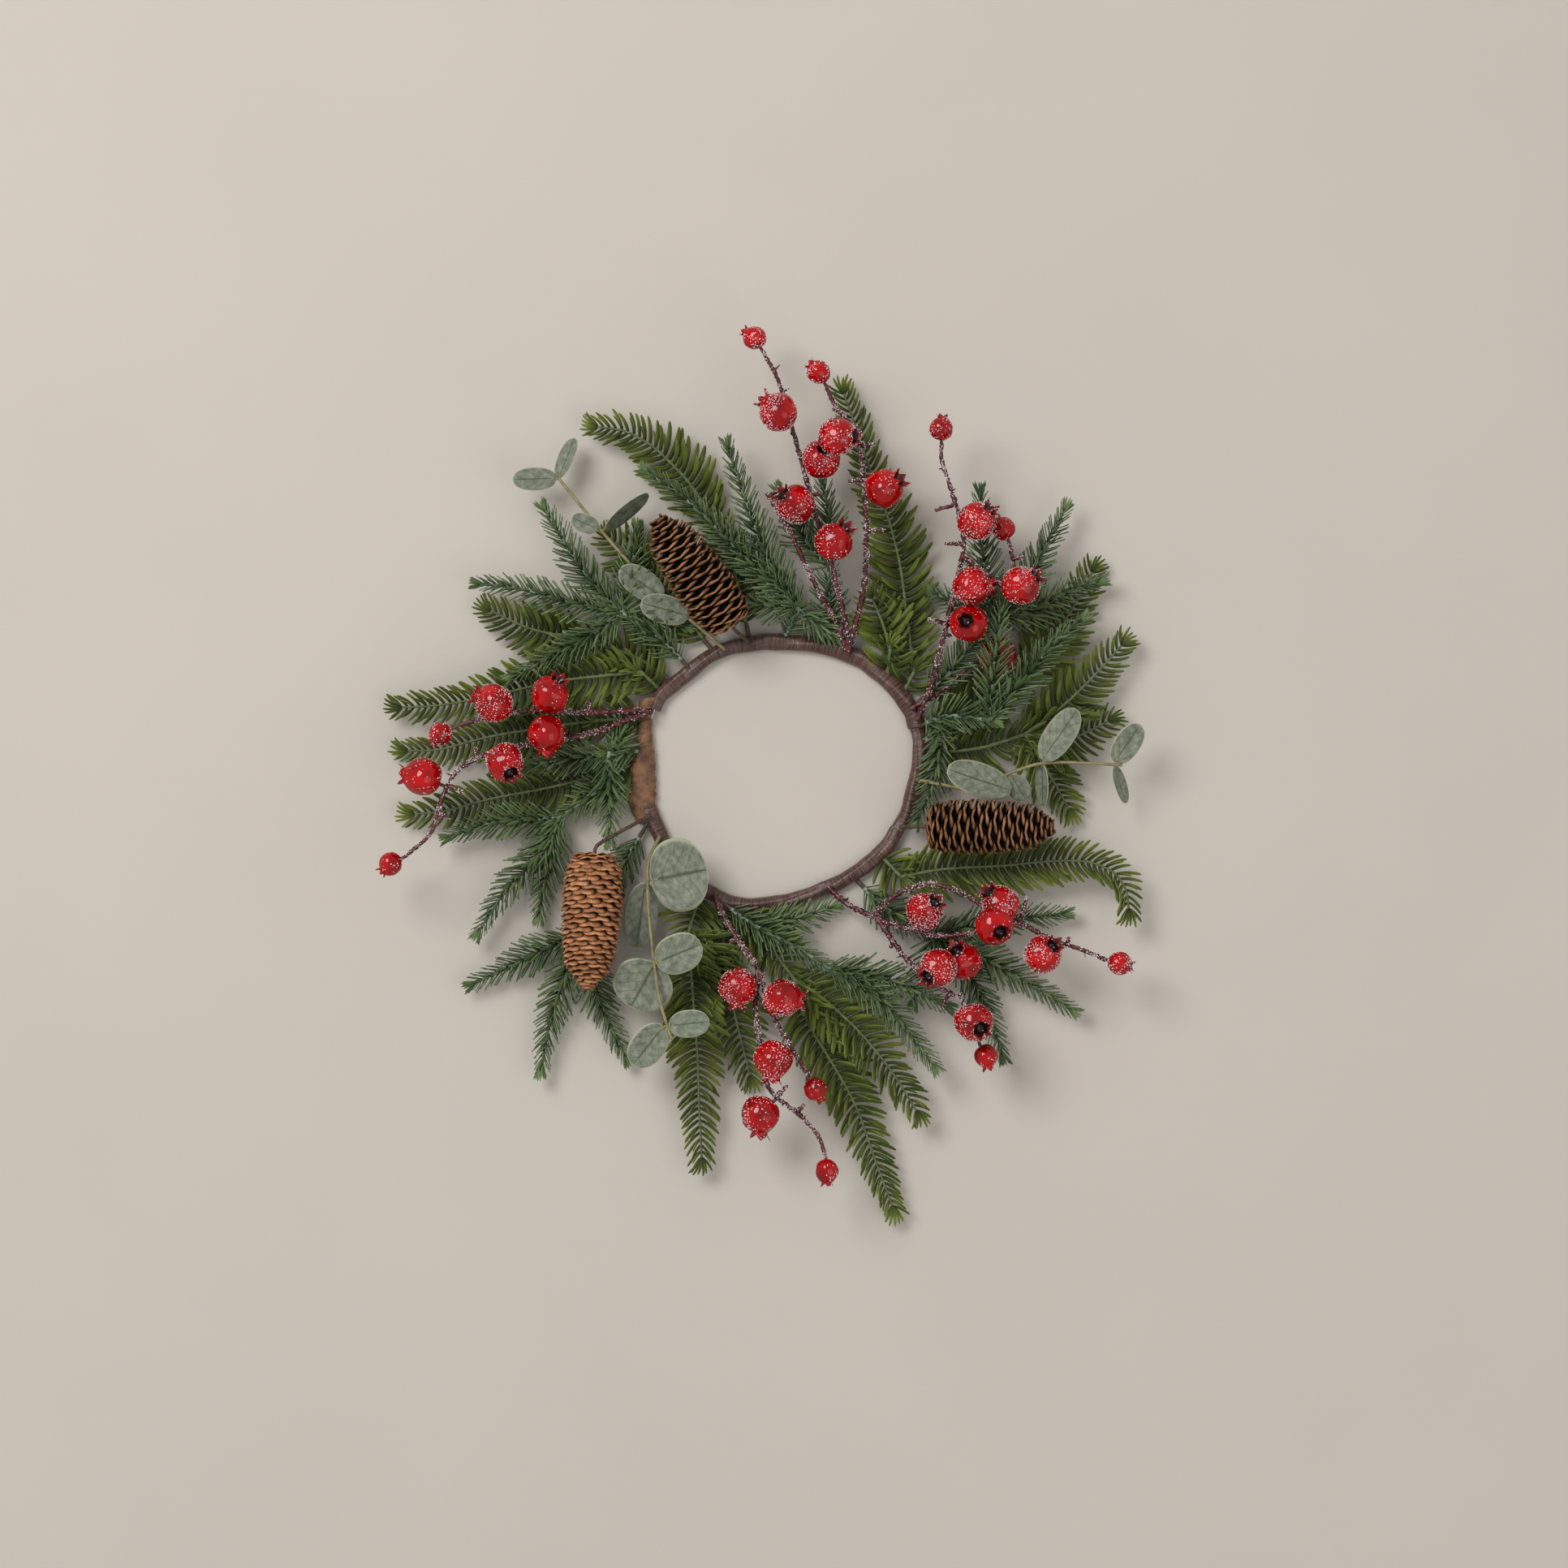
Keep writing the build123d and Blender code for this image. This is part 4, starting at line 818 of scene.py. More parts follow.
def mottle_group():
    """Patches of a dark and a pale colour that run into each other."""
    tree, source = new_tree("ShaderNodeTree", "Mottle", [
        ("Place", "Vector"), ("Scale", "Float", 200.0), ("Dark", "Color"), ("Pale", "Color")],
        [("Colour", "Color")])
    cloud = add(tree, "ShaderNodeTexNoise", {
        "Vector": source["Place"], "Scale": source["Scale"], "Detail": 4})["Fac"]
    share = ramp(tree, cloud, 0.32, 0.68)
    blend = mix(tree, share, source["Dark"], source["Pale"])
    add(tree, "NodeGroupOutput", {"Colour": blend})
    return tree


def relief_group():
    """Fine lumps over coarse ones, for a bump."""
    tree, source = new_tree("ShaderNodeTree", "Relief", [
        ("Place", "Vector"), ("Fine", "Float", 1500.0), ("Coarse", "Float", 300.0)],
        [("Height", "Float")])
    heights = [
        add(tree, "ShaderNodeTexNoise", {"Vector": source["Place"], "Scale": source[label]})["Fac"]
        for label in ("Fine", "Coarse")]
    add(tree, "NodeGroupOutput", {"Height": maths(tree, "ADD", *heights)})
    return tree


MADE = {}


def shared(maker):
    """What a maker makes, made once for the whole ring."""
    if maker not in MADE:
        MADE[maker] = maker()
    return MADE[maker]


def grown(mesh, maker, **values):
    """The plain mesh that a tree makes from a mesh, with the tree's inputs set by name."""
    tree = shared(maker)
    base = linked("growth_base", mesh)
    modifier = base.modifiers.new("growth", "NODES")
    modifier.node_group = tree
    for item in tree.interface.items_tree:
        if item.item_type == "SOCKET" and item.in_out == "INPUT" and item.name in values:
            modifier[item.identifier] = values[item.name]
    graph = bpy.context.evaluated_depsgraph_get()
    result = bpy.data.meshes.new_from_object(
        base.evaluated_get(graph), preserve_all_data_layers=True, depsgraph=graph)
    base.modifiers.remove(modifier)
    bpy.data.objects.remove(base)
    return result


def seeds_mesh(seeds):
    """Loose points, each with its way, face, size and shade, for a tree to grow from."""
    mesh = bpy.data.meshes.new("growth_points")
    places, ways, faces, sizes, shades = zip(*seeds)
    mesh.from_pydata([place * MM for place in places], [], [])
    for name, directions in (("way", ways), ("face", faces)):
        put(mesh, name, [value for direction in directions for value in direction], "FLOAT_VECTOR")
    put(mesh, "size", sizes)
    put(mesh, "shade", shades)
    return mesh


def shape_object(name, rings, rims):
    """A small shape along +Z for a tree to repeat, with its rim and its height as attributes."""
    shell = Shell()
    shell.skin(rings)
    mesh = shell.mesh(name)
    put(mesh, "rim", rims)
    put(mesh, "tipward", [p.z / MM for p in shell.points])
    for spare in ("shade", "frost"):
        mesh.attributes.remove(mesh.attributes[spare])
    mesh.transform(Matrix.Scale(1 / MM, 4))
    return linked(name, mesh)


# Materials


class Finish:
    """A material being made, with short ways to add and join its nodes."""

    def __init__(self, name, roughness, **settings):
        self.material = bpy.data.materials.new(name)
        self.material.use_nodes = True
        self.tree = self.material.node_tree
        self.shader = self.tree.nodes["Principled BSDF"]
        for label, value in {"Roughness": roughness, **settings}.items():
            self.shader.inputs[label.replace("_", " ")].default_value = value

    def place(self, kind="Object", scale=(1, 1, 1)):
        """Coordinates of the surface, stretched."""
        source = add(self.tree, "ShaderNodeTexCoord", {})[kind]
        return add(self.tree, "ShaderNodeMapping", {"Vector": source, "Scale": scale})["Vector"]

    def mottled(self, place, scale, dark, pale):
        inputs = {"Place": place, "Scale": scale, "Dark": rgba(dark), "Pale": rgba(pale)}
        return add(self.tree, "ShaderNodeGroup", inputs, node_tree=shared(mottle_group))["Colour"]

    def over(self, name, low, high, first, second):
        """A colour from a first one to a second, as an attribute goes from low to high."""
        value = add(self.tree, "ShaderNodeAttribute", {}, attribute_name=name)["Fac"]
        return mix(self.tree, ramp(self.tree, value, low, high), first, second)

    def finish(self, colour, place, fine, coarse, strength):
        """Gives the shader its colour and its bumps."""
        inputs = {"Place": place, "Fine": fine, "Coarse": coarse}
        height = add(self.tree, "ShaderNodeGroup", inputs, node_tree=shared(relief_group))["Height"]
        bump = add(self.tree, "ShaderNodeBump", {
            "Strength": strength, "Distance": BUMP_DEPTH, "Height": height})["Normal"]
        self.tree.links.new(colour, self.shader.inputs["Base Color"])
        self.tree.links.new(bump, self.shader.inputs["Normal"])
        return self.material


def plain_finish(name, dark, pale, scale, roughness, strength=0.3, fine=2500.0, coarse=500.0,
                 kind="Object", stretch=(1, 1, 1), lay=None, **settings):
    """A mottled material, which may have more colours laid over the mottle."""
    work = Finish(name, roughness, **settings)
    place = work.place(kind, stretch)
    colour = work.mottled(place, scale, dark, pale)
    return work.finish(lay(work, colour) if lay else colour, place, fine, coarse, strength)


def needle(edge, base, share, root):
    """Colours of needles: pale along the edge, a darker one at the root that is painted shade near
    the stem, and painted shade, deeper on some needles than on others.
    """
    def lay(work, colour):
        rimmed = work.over("rim", 0.2, 1 / share, colour, edge)
        # The root colour is painted shade, darkest where a needle leaves its stem.
        root_shaded = work.over("tipward", 0.0, root, base, rimmed)
        # Painted shade, deeper on some needles than on others.
        return work.over("shade", 1.0, -0.9, root_shaded, (0.006, 0.014, 0.003))
    return lay


def woody(low, high):
    """Colours of scales: nearly black towards the root, as painted shade where they overlap, and
    some of them darker than others.
    """
    def lay(work, colour):
        # Painted shade: each scale is nearly black from its root to where its lip shows.
        outer = work.over("tipward", low, high, (0.006, 0.003, 0.002), colour)
        return work.over("shade", 1.0, -1.5, outer, (0.04, 0.018, 0.009))
    return lay


def hip(work, colour):
    """Colours of a berry: nearly black in its crown."""
    return work.over("shade", 0.1, 0.9, (0.018, 0.004, 0.004), colour)


def leaf_finish(colours):
    """A leaf with slanted veins from a dark middle one, and a pale rim that is a painted highlight
    along its edge.
    """
    leaf = Finish("eucalyptus_leaves", 0.55, Specular_IOR_Level=0.3)
    tree, place = leaf.tree, leaf.place()
    blotched = leaf.mottled(place, 420.0, colours.leaf_dark, colours.leaf_pale)
    sides = add(tree, "ShaderNodeSeparateXYZ", {0: leaf.place("UV")})
    waver = add(tree, "ShaderNodeTexNoise", {"Scale": 120.0, "Vector": place})["Fac"]
    aside = maths(tree, "ABSOLUTE", sides[0])
    slanted = maths(tree, "SUBTRACT", sides[1], maths(tree, "MULTIPLY", aside, VEIN_SLANT))
    spaced = maths(tree, "ADD", maths(tree, "MULTIPLY", slanted, VEIN_COUNT), waver)
    from_vein = maths(tree, "ABSOLUTE", maths(tree, "SUBTRACT", maths(tree, "FRACT", spaced), 0.5))
    veined = mix(tree, ramp(tree, from_vein, -0.06, 0.09), (0.07, 0.09, 0.06), blotched)
    middle = leaf.over("shade", 0.0, 0.5, (0.06, 0.075, 0.035), veined)
    # The leaf's frost values hold its rim: a painted highlight along the edge.
    rimmed = leaf.over("frost", 0.7, 0.95, middle, (0.6, 0.61, 0.4))
    return leaf.finish(rimmed, place, 3000.0, 700.0, 0.25)


def make_finishes():
    """Every material of the ring, by its name."""
    colours = bpy.context.scene.ring_colours
    made = {"eucalyptus_leaves": leaf_finish(colours)}

    def make(name, *look, **more):
        made[name] = plain_finish(name, *look, **more)

    make("satin_thread", (0.018, 0.008, 0.006), (0.17, 0.082, 0.064), 1.0, 0.3, 0.5, 1.6, 0.35,
         kind="UV", stretch=(2.2, 2400, 1), Sheen_Weight=0.05)
    make("paper_tape", (0.085, 0.036, 0.014), (0.27, 0.13, 0.055), 260.0, 0.55, 0.9, 1400.0, 330.0,
         Sheen_Weight=0.1)
    make("brown_wire", (0.035, 0.022, 0.014), (0.11, 0.07, 0.045), 700.0, 0.6)
    make("green_stem", (0.16, 0.24, 0.16), (0.3, 0.38, 0.3), 500.0, 0.5)
    make("fir_stem", (0.06, 0.09, 0.025), (0.13, 0.17, 0.05), 500.0, 0.5)
    # The second colour that needle() gets is painted shade at the needles' roots.
    make("fir_needles", colours.fir_dark, colours.fir_pale, 60.0, 0.42, 0.12,
         lay=needle((0.36, 0.42, 0.12), (0.014, 0.024, 0.003), 0.9, 0.7), Specular_IOR_Level=0.2)
    make("spruce_needles", colours.spruce_dark, colours.spruce_pale, 60.0, 0.45, 0.12,
         lay=needle((0.28, 0.38, 0.22), (0.05, 0.085, 0.035), 0.7, 0.4), Specular_IOR_Level=0.2)
    # The two shares given to woody() set how far up each scale the painted shade reaches.
    make("cone_scales", (0.23, 0.095, 0.04), (0.56, 0.27, 0.13), 420.0, 0.62, 0.5,
         lay=woody(0.8, 1.02), Specular_IOR_Level=0.15)
    make("orange_scales", (0.36, 0.135, 0.055), (0.76, 0.37, 0.18), 420.0, 0.62, 0.5,
         lay=woody(0.55, 0.93), Specular_IOR_Level=0.15)
    # The core is painted nearly black, as painted shade seen in the gaps between scales.
    make("cone_core", (0.012, 0.007, 0.005), (0.04, 0.02, 0.012), 500.0, 0.8)
    make("red_berries", colours.berry_dark, colours.berry_red, 130.0, 0.3, 0.08, 700.0, 160.0,
         lay=hip, Coat_Weight=0.8, Coat_Roughness=0.06, Specular_IOR_Level=0.0)
    make("berry_stems", (0.025, 0.003, 0.004), (0.13, 0.014, 0.018), 300.0, 0.42, 0.6, 1500.0,
         600.0, Coat_Weight=0.2)
    make("sugar_frost", (0.7, 0.5, 0.52), (0.95, 0.92, 0.93), 90.0, 0.18, 0.1, Coat_Weight=0.6)
    make("eucalyptus_stems", (0.17, 0.15, 0.06), (0.34, 0.28, 0.14), 300.0, 0.5)
    make("steel_wire", (0.3, 0.29, 0.28), (0.5, 0.49, 0.47), 800.0, 0.35, Metallic=1.0)
    return made


def painted(*names):
    return [shared(make_finishes)[name] for name in names]


# Sizes and colours that a user may change


def length(name, description, default):
    return bpy.props.FloatProperty(
        name=name, description=description, default=default, min=0.0, unit="LENGTH",
        subtype="DISTANCE")


def shade_of(name, description, default):
    return bpy.props.FloatVectorProperty(
        name=name, description=description, default=default, size=3, min=0.0, max=1.0,
        subtype="COLOR")


class RingSizes(bpy.types.PropertyGroup):
    fir_needle: length("Fir needle", "Length of a fir needle", 0.0142)
    fir_width: length("Fir needle width", "Width of a fir needle", 0.0022)
    fir_gap: length("Fir needle gap", "Distance between fir needles on one side", 0.0024)
    spruce_needle: length("Spruce needle", "Length of a spruce needle", 0.0105)
    spruce_width: length("Spruce needle width", "Width of a spruce needle", 0.0014)
    spruce_gap: length("Spruce needle gap", "Distance along the stem between needles", 0.00042)
    thread_gap: length("Thread gap", "Distance between two turns of thread", 0.0004)
    berry_radius: length("Berry radius", "Radius of a full berry", 0.0073)
    bud_radius: length("Bud radius", "Radius of a small berry", 0.0045)
    frost_grains: bpy.props.FloatProperty(
        name="Frost grains", description="Grains of sugar to a square metre", default=1.7e6,
        min=0.0)


class RingColours(bpy.types.PropertyGroup):
    fir_dark: shade_of("Fir dark", "Darker green of the fir", (0.032, 0.06, 0.005))
    fir_pale: shade_of("Fir pale", "Paler green of the fir", (0.17, 0.21, 0.025))
    spruce_dark: shade_of("Spruce dark", "Darker green of the spruce", (0.04, 0.08, 0.02))
    spruce_pale: shade_of("Spruce pale", "Paler green of the spruce", (0.19, 0.27, 0.1))
    berry_dark: shade_of("Berry dark", "Darker red of the berries", (0.2, 0.0, 0.001))
    berry_red: shade_of("Berry red", "Main red of the berries", (0.52, 0.0, 0.001))
    leaf_dark: shade_of("Leaf dark", "Darker grey-green of the leaves", (0.12, 0.14, 0.1))
    leaf_pale: shade_of("Leaf pale", "Paler grey-green of the leaves", (0.255, 0.28, 0.21))
    floor: shade_of("Floor", "Colour of the floor", (0.555, 0.51, 0.452))


# Pieces


def winding(name, wrap, gap):
    """One winding of satin thread: fine turns side by side, a few of them proud."""
    first, last, radius_share = wrap
    route = hoop_run(first, last)
    if last + 1 == TAPE_CORNER:
        route.append(spot(HOOP_PIXELS[TAPE_CORNER], HOOP_HEIGHT))
    found, _ = stations(route, gap / MM / THREAD_ROWS)
    radius = WRAP_RADIUS * radius_share + THREAD_OVER
    radius += THREAD_OVER if last < WIDE_CORNERS else 0
    chance = random.Random(name)
    count = len(found) // THREAD_ROWS + 6
    turns = [chance.uniform(-THREAD_UNEVEN, THREAD_UNEVEN) for _ in range(count)]
    rings, lengths = [], []
    for k, (centre, at, _, across, up) in enumerate(found):
        ring = []
        for angle in circle(THREAD_SIDES):
            along = k / THREAD_ROWS + THREAD_LEAN * math.sin(angle + 0.7) + 2.5
            turn, part = int(along), along - int(along)
            ridge = THREAD_PROUD * math.sin(math.pi * part) + turns[min(turn, len(turns) - 1)]
            out = turned(across, up, angle)
            wound = angle + at * 0.03
            fold = Vector((1.5 * math.cos(wound), 1.5 * math.sin(wound), at * 0.05 + radius))
            swell = THREAD_SWELL * noise.noise((centre + out * radius) * 0.17)
            swell += THREAD_FOLD * noise.noise(fold)
            ring.append(above(centre + out * (radius - 0.1 + ridge + swell), TABLE_GAP))
        rings.append(ring)
        lengths.append(at * MM)
    closing = [(rings[0], found[0][0]), (rings[-1], found[-1][0])]
    ends = [[middle + (p - middle) * WRAP_CLOSING for p in ring] for ring, middle in closing]
    shell = Shell()
    shell.skin([ends[0], *rings, ends[1]], lengths=[lengths[0], *lengths, lengths[-1]])
    return shell.mesh(name, *painted("satin_thread"))


def tape_mesh(name):
    """Paper tape in overlapping turns, crinkled as it was stretched."""
    rows = []
    for upper, lower in zip(TAPE_PIXELS, TAPE_PIXELS[1:]):
        for k in range(TAPE_ROWS):
            t = k / (TAPE_ROWS - 1)
            rows.append([a + (b - a) * (0.02 + 0.96 * t) for a, b in zip(upper, lower)] + [1 - t])
    rings = []
    for outer_x, inner_x, y, proud in rows:
        outer, inner = spot((outer_x, y), HOOP_HEIGHT), spot((inner_x, y), HOOP_HEIGHT)
        middle = (outer + inner) * 0.5
        step = TAPE_STEP * (1.1 * proud - 0.4)
        wide = (inner - outer).length / 2 + step
        high = TAPE_HALF_HEIGHT + step
        ring = []
        for angle in circle(TAPE_SIDES):
            slant = TAPE_LEAN * math.sin(angle + 0.5)
            p = middle + Vector((wide * math.cos(angle), slant, high * math.sin(angle)))
            crease = abs(noise.noise(Vector((p.x * 0.5, p.y * 1.6, p.z * 0.5)) + Vector((4, 9, 2))))
            fine = noise.noise(p * 1.5)
            pleat = abs(noise.noise(Vector((p.x * 0.25, p.y * 0.9 + p.x * 0.5, p.z * 0.3))))
            crumple = TAPE_CREASE * crease + TAPE_PLEAT * pleat + TAPE_FINE * fine - TAPE_SUNK
            p += (p - middle).normalized() * crumple
            ring.append(above(p, TABLE_GAP))
        rings.append(ring)
    shell = Shell()
    shell.skin(rings)
    return shell.mesh(name, *painted("paper_tape"))


def needle_shape(name, halves, rise, droop, hook):
    """A needle along +Z: half its width at each height, drooping, and hooked to one side."""
    rings, rims = [], []
    for share, half in halves:
        back, aside = -droop * share ** 2, -hook * share ** 2
        ring = [
            (-half, 0.0, 1), (-half * 0.5, rise * 0.9, 0.2), (0.0, rise * 0.55, 0),
            (half * 0.5, rise * 0.9, 0.2), (half, 0.0, 1), (0.0, -rise * 0.8, 0)]
        rings.append([Vector((x + aside, y + back, share)) for x, y, _ in ring])
        rims += [rim for _, _, rim in ring]
    return shape_object(name, rings, rims)


def tip_line(low_share, high_share, route):
    """A tip's stem, laid in one plane that rises from its base to its end."""
    low, high = low_share * MOUND_HEIGHT, high_share * MOUND_HEIGHT
    flat = spots(route)
    chord = flat[-1] - flat[0]
    raised = []
    for point in flat:
        along = (point - flat[0]).dot(chord) / chord.length_squared
        raised.append(Vector((point.x, point.y, low + (high - low) * along)))
    return bend(raised)


def needle_reach(share):
    """How long a needle is at a share of its stem, against the longest."""
    full = 0.75 + 0.25 * math.sin(math.pi * min(1, share * 1.6))
    return full * (1 - 0.35 * share ** 4)


def aimed(place, way, face, reach, size, shade):
    """A needle's seed, with its way turned up where its end would be under the table."""
    way = way.normalized()
    lowest = (NEEDLE_FLOOR - place.z) / max(reach, TINY)
    if way.z < lowest:
        flat = Vector((way.x, way.y, 0)).normalized()
        tilt = max(min(lowest, STEEPEST), -STEEPEST)
        way = flat * math.sqrt(1 - tilt * tilt) + Vector((0, 0, tilt))
    return (place, way, face, size, shade)


def fir_seeds(line, needle_length, gap, chance):
    """Two combed rows of flat needles, with shorter ones that stand up between them."""
    found, total = stations(line, gap)
    seeds = []
    for k, (place, at, ahead, across, up) in enumerate(found):
        share = at / total
        angle = FIR_SLANT * (1 - 0.3 * share ** 3) + chance.uniform(-FIR_SPREAD, FIR_SPREAD)
        angle = math.radians(angle)
        for side in (1, -1):
            for lift, size in ((0.08, 1.0), (0.62, 0.8)) if k % 2 else ((0.2, 0.97),):
                lift += chance.uniform(-LIFT_SPREAD, LIFT_SPREAD)
                way = turned(ahead, turned(across * side, up, lift), angle)
                face = turned(up, across * -side, lift).normalized() * side
                reach = needle_reach(share) * size
                seeds.append(aimed(place, way, face, needle_length * reach, reach, chance.random()))
    place, _, ahead, across, up = found[-1]
    for k in range(FIR_END_NEEDLES):
        way = ahead + across * 0.28 * (k - 2) + up * chance.uniform(0, 0.2)
        seeds.append(aimed(place, way, up, needle_length * 0.5, 0.5, 0.8))
    return seeds


def spruce_seeds(line, needle_length, gap, chance):
    """Short needles all round the stem, most of them to the sides and above."""
    found, total = stations(line, gap)
    seeds = []
    for k, (place, at, ahead, across, up) in enumerate(found):
        share = at / total
        turn = k * GOLDEN_TURN
        side, lift = math.cos(turn), math.sin(turn)
        if lift < SPRUCE_LOWEST:
            lift = SPRUCE_LOWEST * lift
        out = (across * side * 1.25 + up * lift).normalized()
        angle = SPRUCE_SLANT * (1 - 0.4 * share ** 3)
        angle = math.radians(angle + chance.uniform(-SPRUCE_SPREAD, SPRUCE_SPREAD))
        way, face = turned(ahead, out, angle), turned(out, -ahead, angle).normalized()
        reach = needle_reach(share)
        seeds.append(aimed(place, way, face, needle_length * reach, reach, chance.random()))
    place, _, ahead, across, up = found[-1]
    for k in range(SPRUCE_END_NEEDLES):
        turn = k * GOLDEN_TURN
        way = ahead + (across * math.cos(turn) + up * abs(math.sin(turn))) * 0.45
        seeds.append(aimed(place, way, up, needle_length * 0.6, 0.6, 0.9))
    return seeds


def green_mesh(name, kind, pick, sizes, shape):
    """A pick: its bare wire, its stems and its needles."""
    start = on_winding(pick["bound_pixels"], pick["bound_turn"], WRAP_RADIUS - BINDING_DEPTH)
    route = [start] + spots(pick["route"])
    wire = bend(rising(route, start.z, pick["share"] * MOUND_HEIGHT))
    sow = {"fir": fir_seeds, "spruce": spruce_seeds}[kind]
    needle_length = getattr(sizes, kind + "_needle") / MM
    gap = getattr(sizes, kind + "_gap") / MM
    stem = {"gap": 1.5, "rough": 0.2, "finish": 1, "floor": STEM_FLOOR}
    chance = random.Random(name)
    shell = Shell()
    shell.tube(wire, 0.8, **{**stem, "rough": 0.25, "finish": 0})
    seeds = []
    if (spot(pick["route"][-1]) - start).length > SHORTEST_CLOTHED:
        clothed = [point for point, _ in evenly(wire, 1.0)[0]]
        clothed = clothed[int(len(clothed) * CLOTHED_FROM):]
        shell.tube(clothed, 0.9, **stem)
        seeds += sow(clothed, needle_length, gap, chance)
    for tip in pick["tips"]:
        line = tip_line(*tip)
        shell.tube(line, 0.85, taper=0.55, **stem)
        seeds += sow(line, needle_length, gap, chance)
    paints = painted("brown_wire", STEM_FINISHES[kind], kind + "_needles")
    leaves = grown(
        seeds_mesh(seeds), growth_tree, Shape=shape, Length=needle_length * MM, Seed=len(seeds),
        Width=getattr(sizes, kind + "_width"), Material=paints[2])
    return merged(name, [(shell.mesh(name + "_stems"), None), (leaves, 2)], *paints)


def cone_profile(share):
    """How wide the cone is along its length, as a share of its full radius."""
    if share < CONE_FOOT:
        return 0.62 + 0.3 * math.sin(math.pi / 2 * share / CONE_FOOT)
    if share < CONE_TAPER:
        return 0.92 + 0.08 * math.sin(math.pi * (share - CONE_FOOT) / (CONE_TAPER - CONE_FOOT))
    return 0.92 - 0.44 * ((share - CONE_TAPER) / (1 - CONE_TAPER)) ** 2


def scale_shape(name):
    """A woody scale along +Z: narrow at its root, broad and thick at its rounded lip."""
    rings, rims = [], []
    for share, half, thick in SCALE_STATIONS:
        ring = []
        for x, y in SCALE_OUTLINE:
            cup = -0.11 * x * x * share
            ring.append(Vector((x * half, y * thick + cup + 0.14 * share ** 2, share)))
            rims.append(abs(x))
        rings.append(ring)
    return shape_object(name, rings, rims)


def cone_line(cone):
    """The middle of a cone's base, and the direction of its tip."""
    low, high = [share * MOUND_HEIGHT for share in cone["height_shares"]]
    base, tip = spot(cone["base_pixels"], low), spot(cone["tip_pixels"], high)
    return base, (tip - base).normalized()


def cone_mesh(name, cone, shape):
    """A cone: a core painted nearly black as the shade between the scales, and scales in a spiral,
    each leaning towards the tip.
    """
    base, axis = cone_line(cone)
    across = UP.cross(axis).normalized()
    up = axis.cross(across)
    chance = random.Random(name)
    rings = []
    for k in range(CORE_RINGS):
        share = k / (CORE_RINGS - 1)
        radius = 0.5 * CONE_RADIUS * cone_profile(share) * (0.4 if share in (0, 1) else 1)
        centre = base + axis * (CONE_LENGTH * (0.015 + 0.86 * share))
        rings.append([centre + turned(across, up, angle) * radius for angle in circle(CORE_SIDES)])
    shell = Shell()
    shell.skin(rings)
    seeds = []

    def seed(k, lean, size, ahead, root):
        """Adds a scale at a distance ahead of the base and out from the axis."""
        out = turned(across, up, k * GOLDEN_TURN)
        way, face = turned(axis, out, lean), turned(out, -axis, lean)
        seeds.append((base + axis * ahead + out * root, way, face, size, chance.random()))

    for k in range(cone["count"]):
        share = (k + 0.5) / cone["count"]
        closing = max(0, (share - TIP_SHARE) / (1 - TIP_SHARE))
        wide = (CONE_RADIUS * cone_profile(share) - cone["curl"]) * (1 - 0.85 * closing ** 1.6)
        lean = math.radians(cone["slant"]) * (1 - 0.9 * closing)
        lean = lean + math.radians(chance.uniform(-3, 3)) + BASE_SPREAD * max(0, 1 - share / 0.1)
        size = 0.86 * (0.55 + 0.45 * cone_profile(share)) * (1 - 0.35 * closing)
        root = max(wide - SCALE_LENGTH * size * math.sin(lean), 1.0)
        lip = CONE_LENGTH * cone["cover"] * (0.02 + 0.98 * share)
        ahead = lip - SCALE_LENGTH * size * math.cos(lean)
        seed(k, lean, size, max(ahead, 0.4), root)
    for k in range(ROSETTE):
        row = k % 3
        seed(k, math.radians(100 - 6 * row), 0.45 + 0.11 * row, 1.2 + 0.5 * row, 1)
    paints = painted("cone_core", cone["finish"])
    scales = grown(
        seeds_mesh(seeds), growth_tree, Shape=shape, Length=SCALE_LENGTH * MM,
        Width=cone["wide"] * MM, Uneven=0.03, Seed=SEED, Material=paints[1])
    return merged(name, [(shell.mesh(name + "_core"), 0), (scales, 1)], *paints)


def cone_wire_mesh(name, cone):
    base, axis = cone_line(cone)
    shell = Shell()
    line = [hinge_at(cone["bound_pixels"]), base - axis * CONE_SOCKET, base + axis * CONE_SOCKET]
    shell.tube(bend(line), CONE_WIRE_RADIUS, gap=0.8, rough=0.2)
    return shell.mesh(name, *painted("brown_wire"))


def spray_lines(spray):
    """The stems that rise from the binding, then the branches that rise from them."""
    hinge = hinge_at(spray["bound_pixels"])
    stems = [
        bend(rising([hinge] + spots(route), hinge.z, share * MOUND_HEIGHT))
        for share, route in spray["stems"]]
    branches = []
    for share, route in spray["branches"]:
        start = nearest_on(stems, spot(route[0]))
        branches.append(bend(rising([start] + spots(route[1:]), start.z, share * MOUND_HEIGHT)))
    return stems + branches


def berry_places(spray, lines, sizes):
    """Each berry's centre, foot on the stem, crown direction and radius."""
    places = []
    for key, radius in (("large_pixels", sizes.berry_radius), ("small_pixels", sizes.bud_radius)):
        radius = radius / MM
        for x, y, crown_x, crown_y in spray[key]:
            centre = spot((x, y))
            foot = nearest_on(lines, centre)
            away = math.hypot(foot.x - centre.x, foot.y - centre.y)
            reach = radius + SPRAY_STEM_RADIUS + RUN_CLEARANCE
            rise = math.sqrt(max(reach ** 2 - away ** 2, 0))
            centre = Vector((centre.x, centre.y, foot.z + rise))
            toward = spot((crown_x, crown_y)) - spot((x, y))
            up = math.sqrt(max(radius ** 2 - toward.length_squared, 0))
            places.append((centre, foot, Vector((toward.x, toward.y, up)).normalized(), radius))
    return places


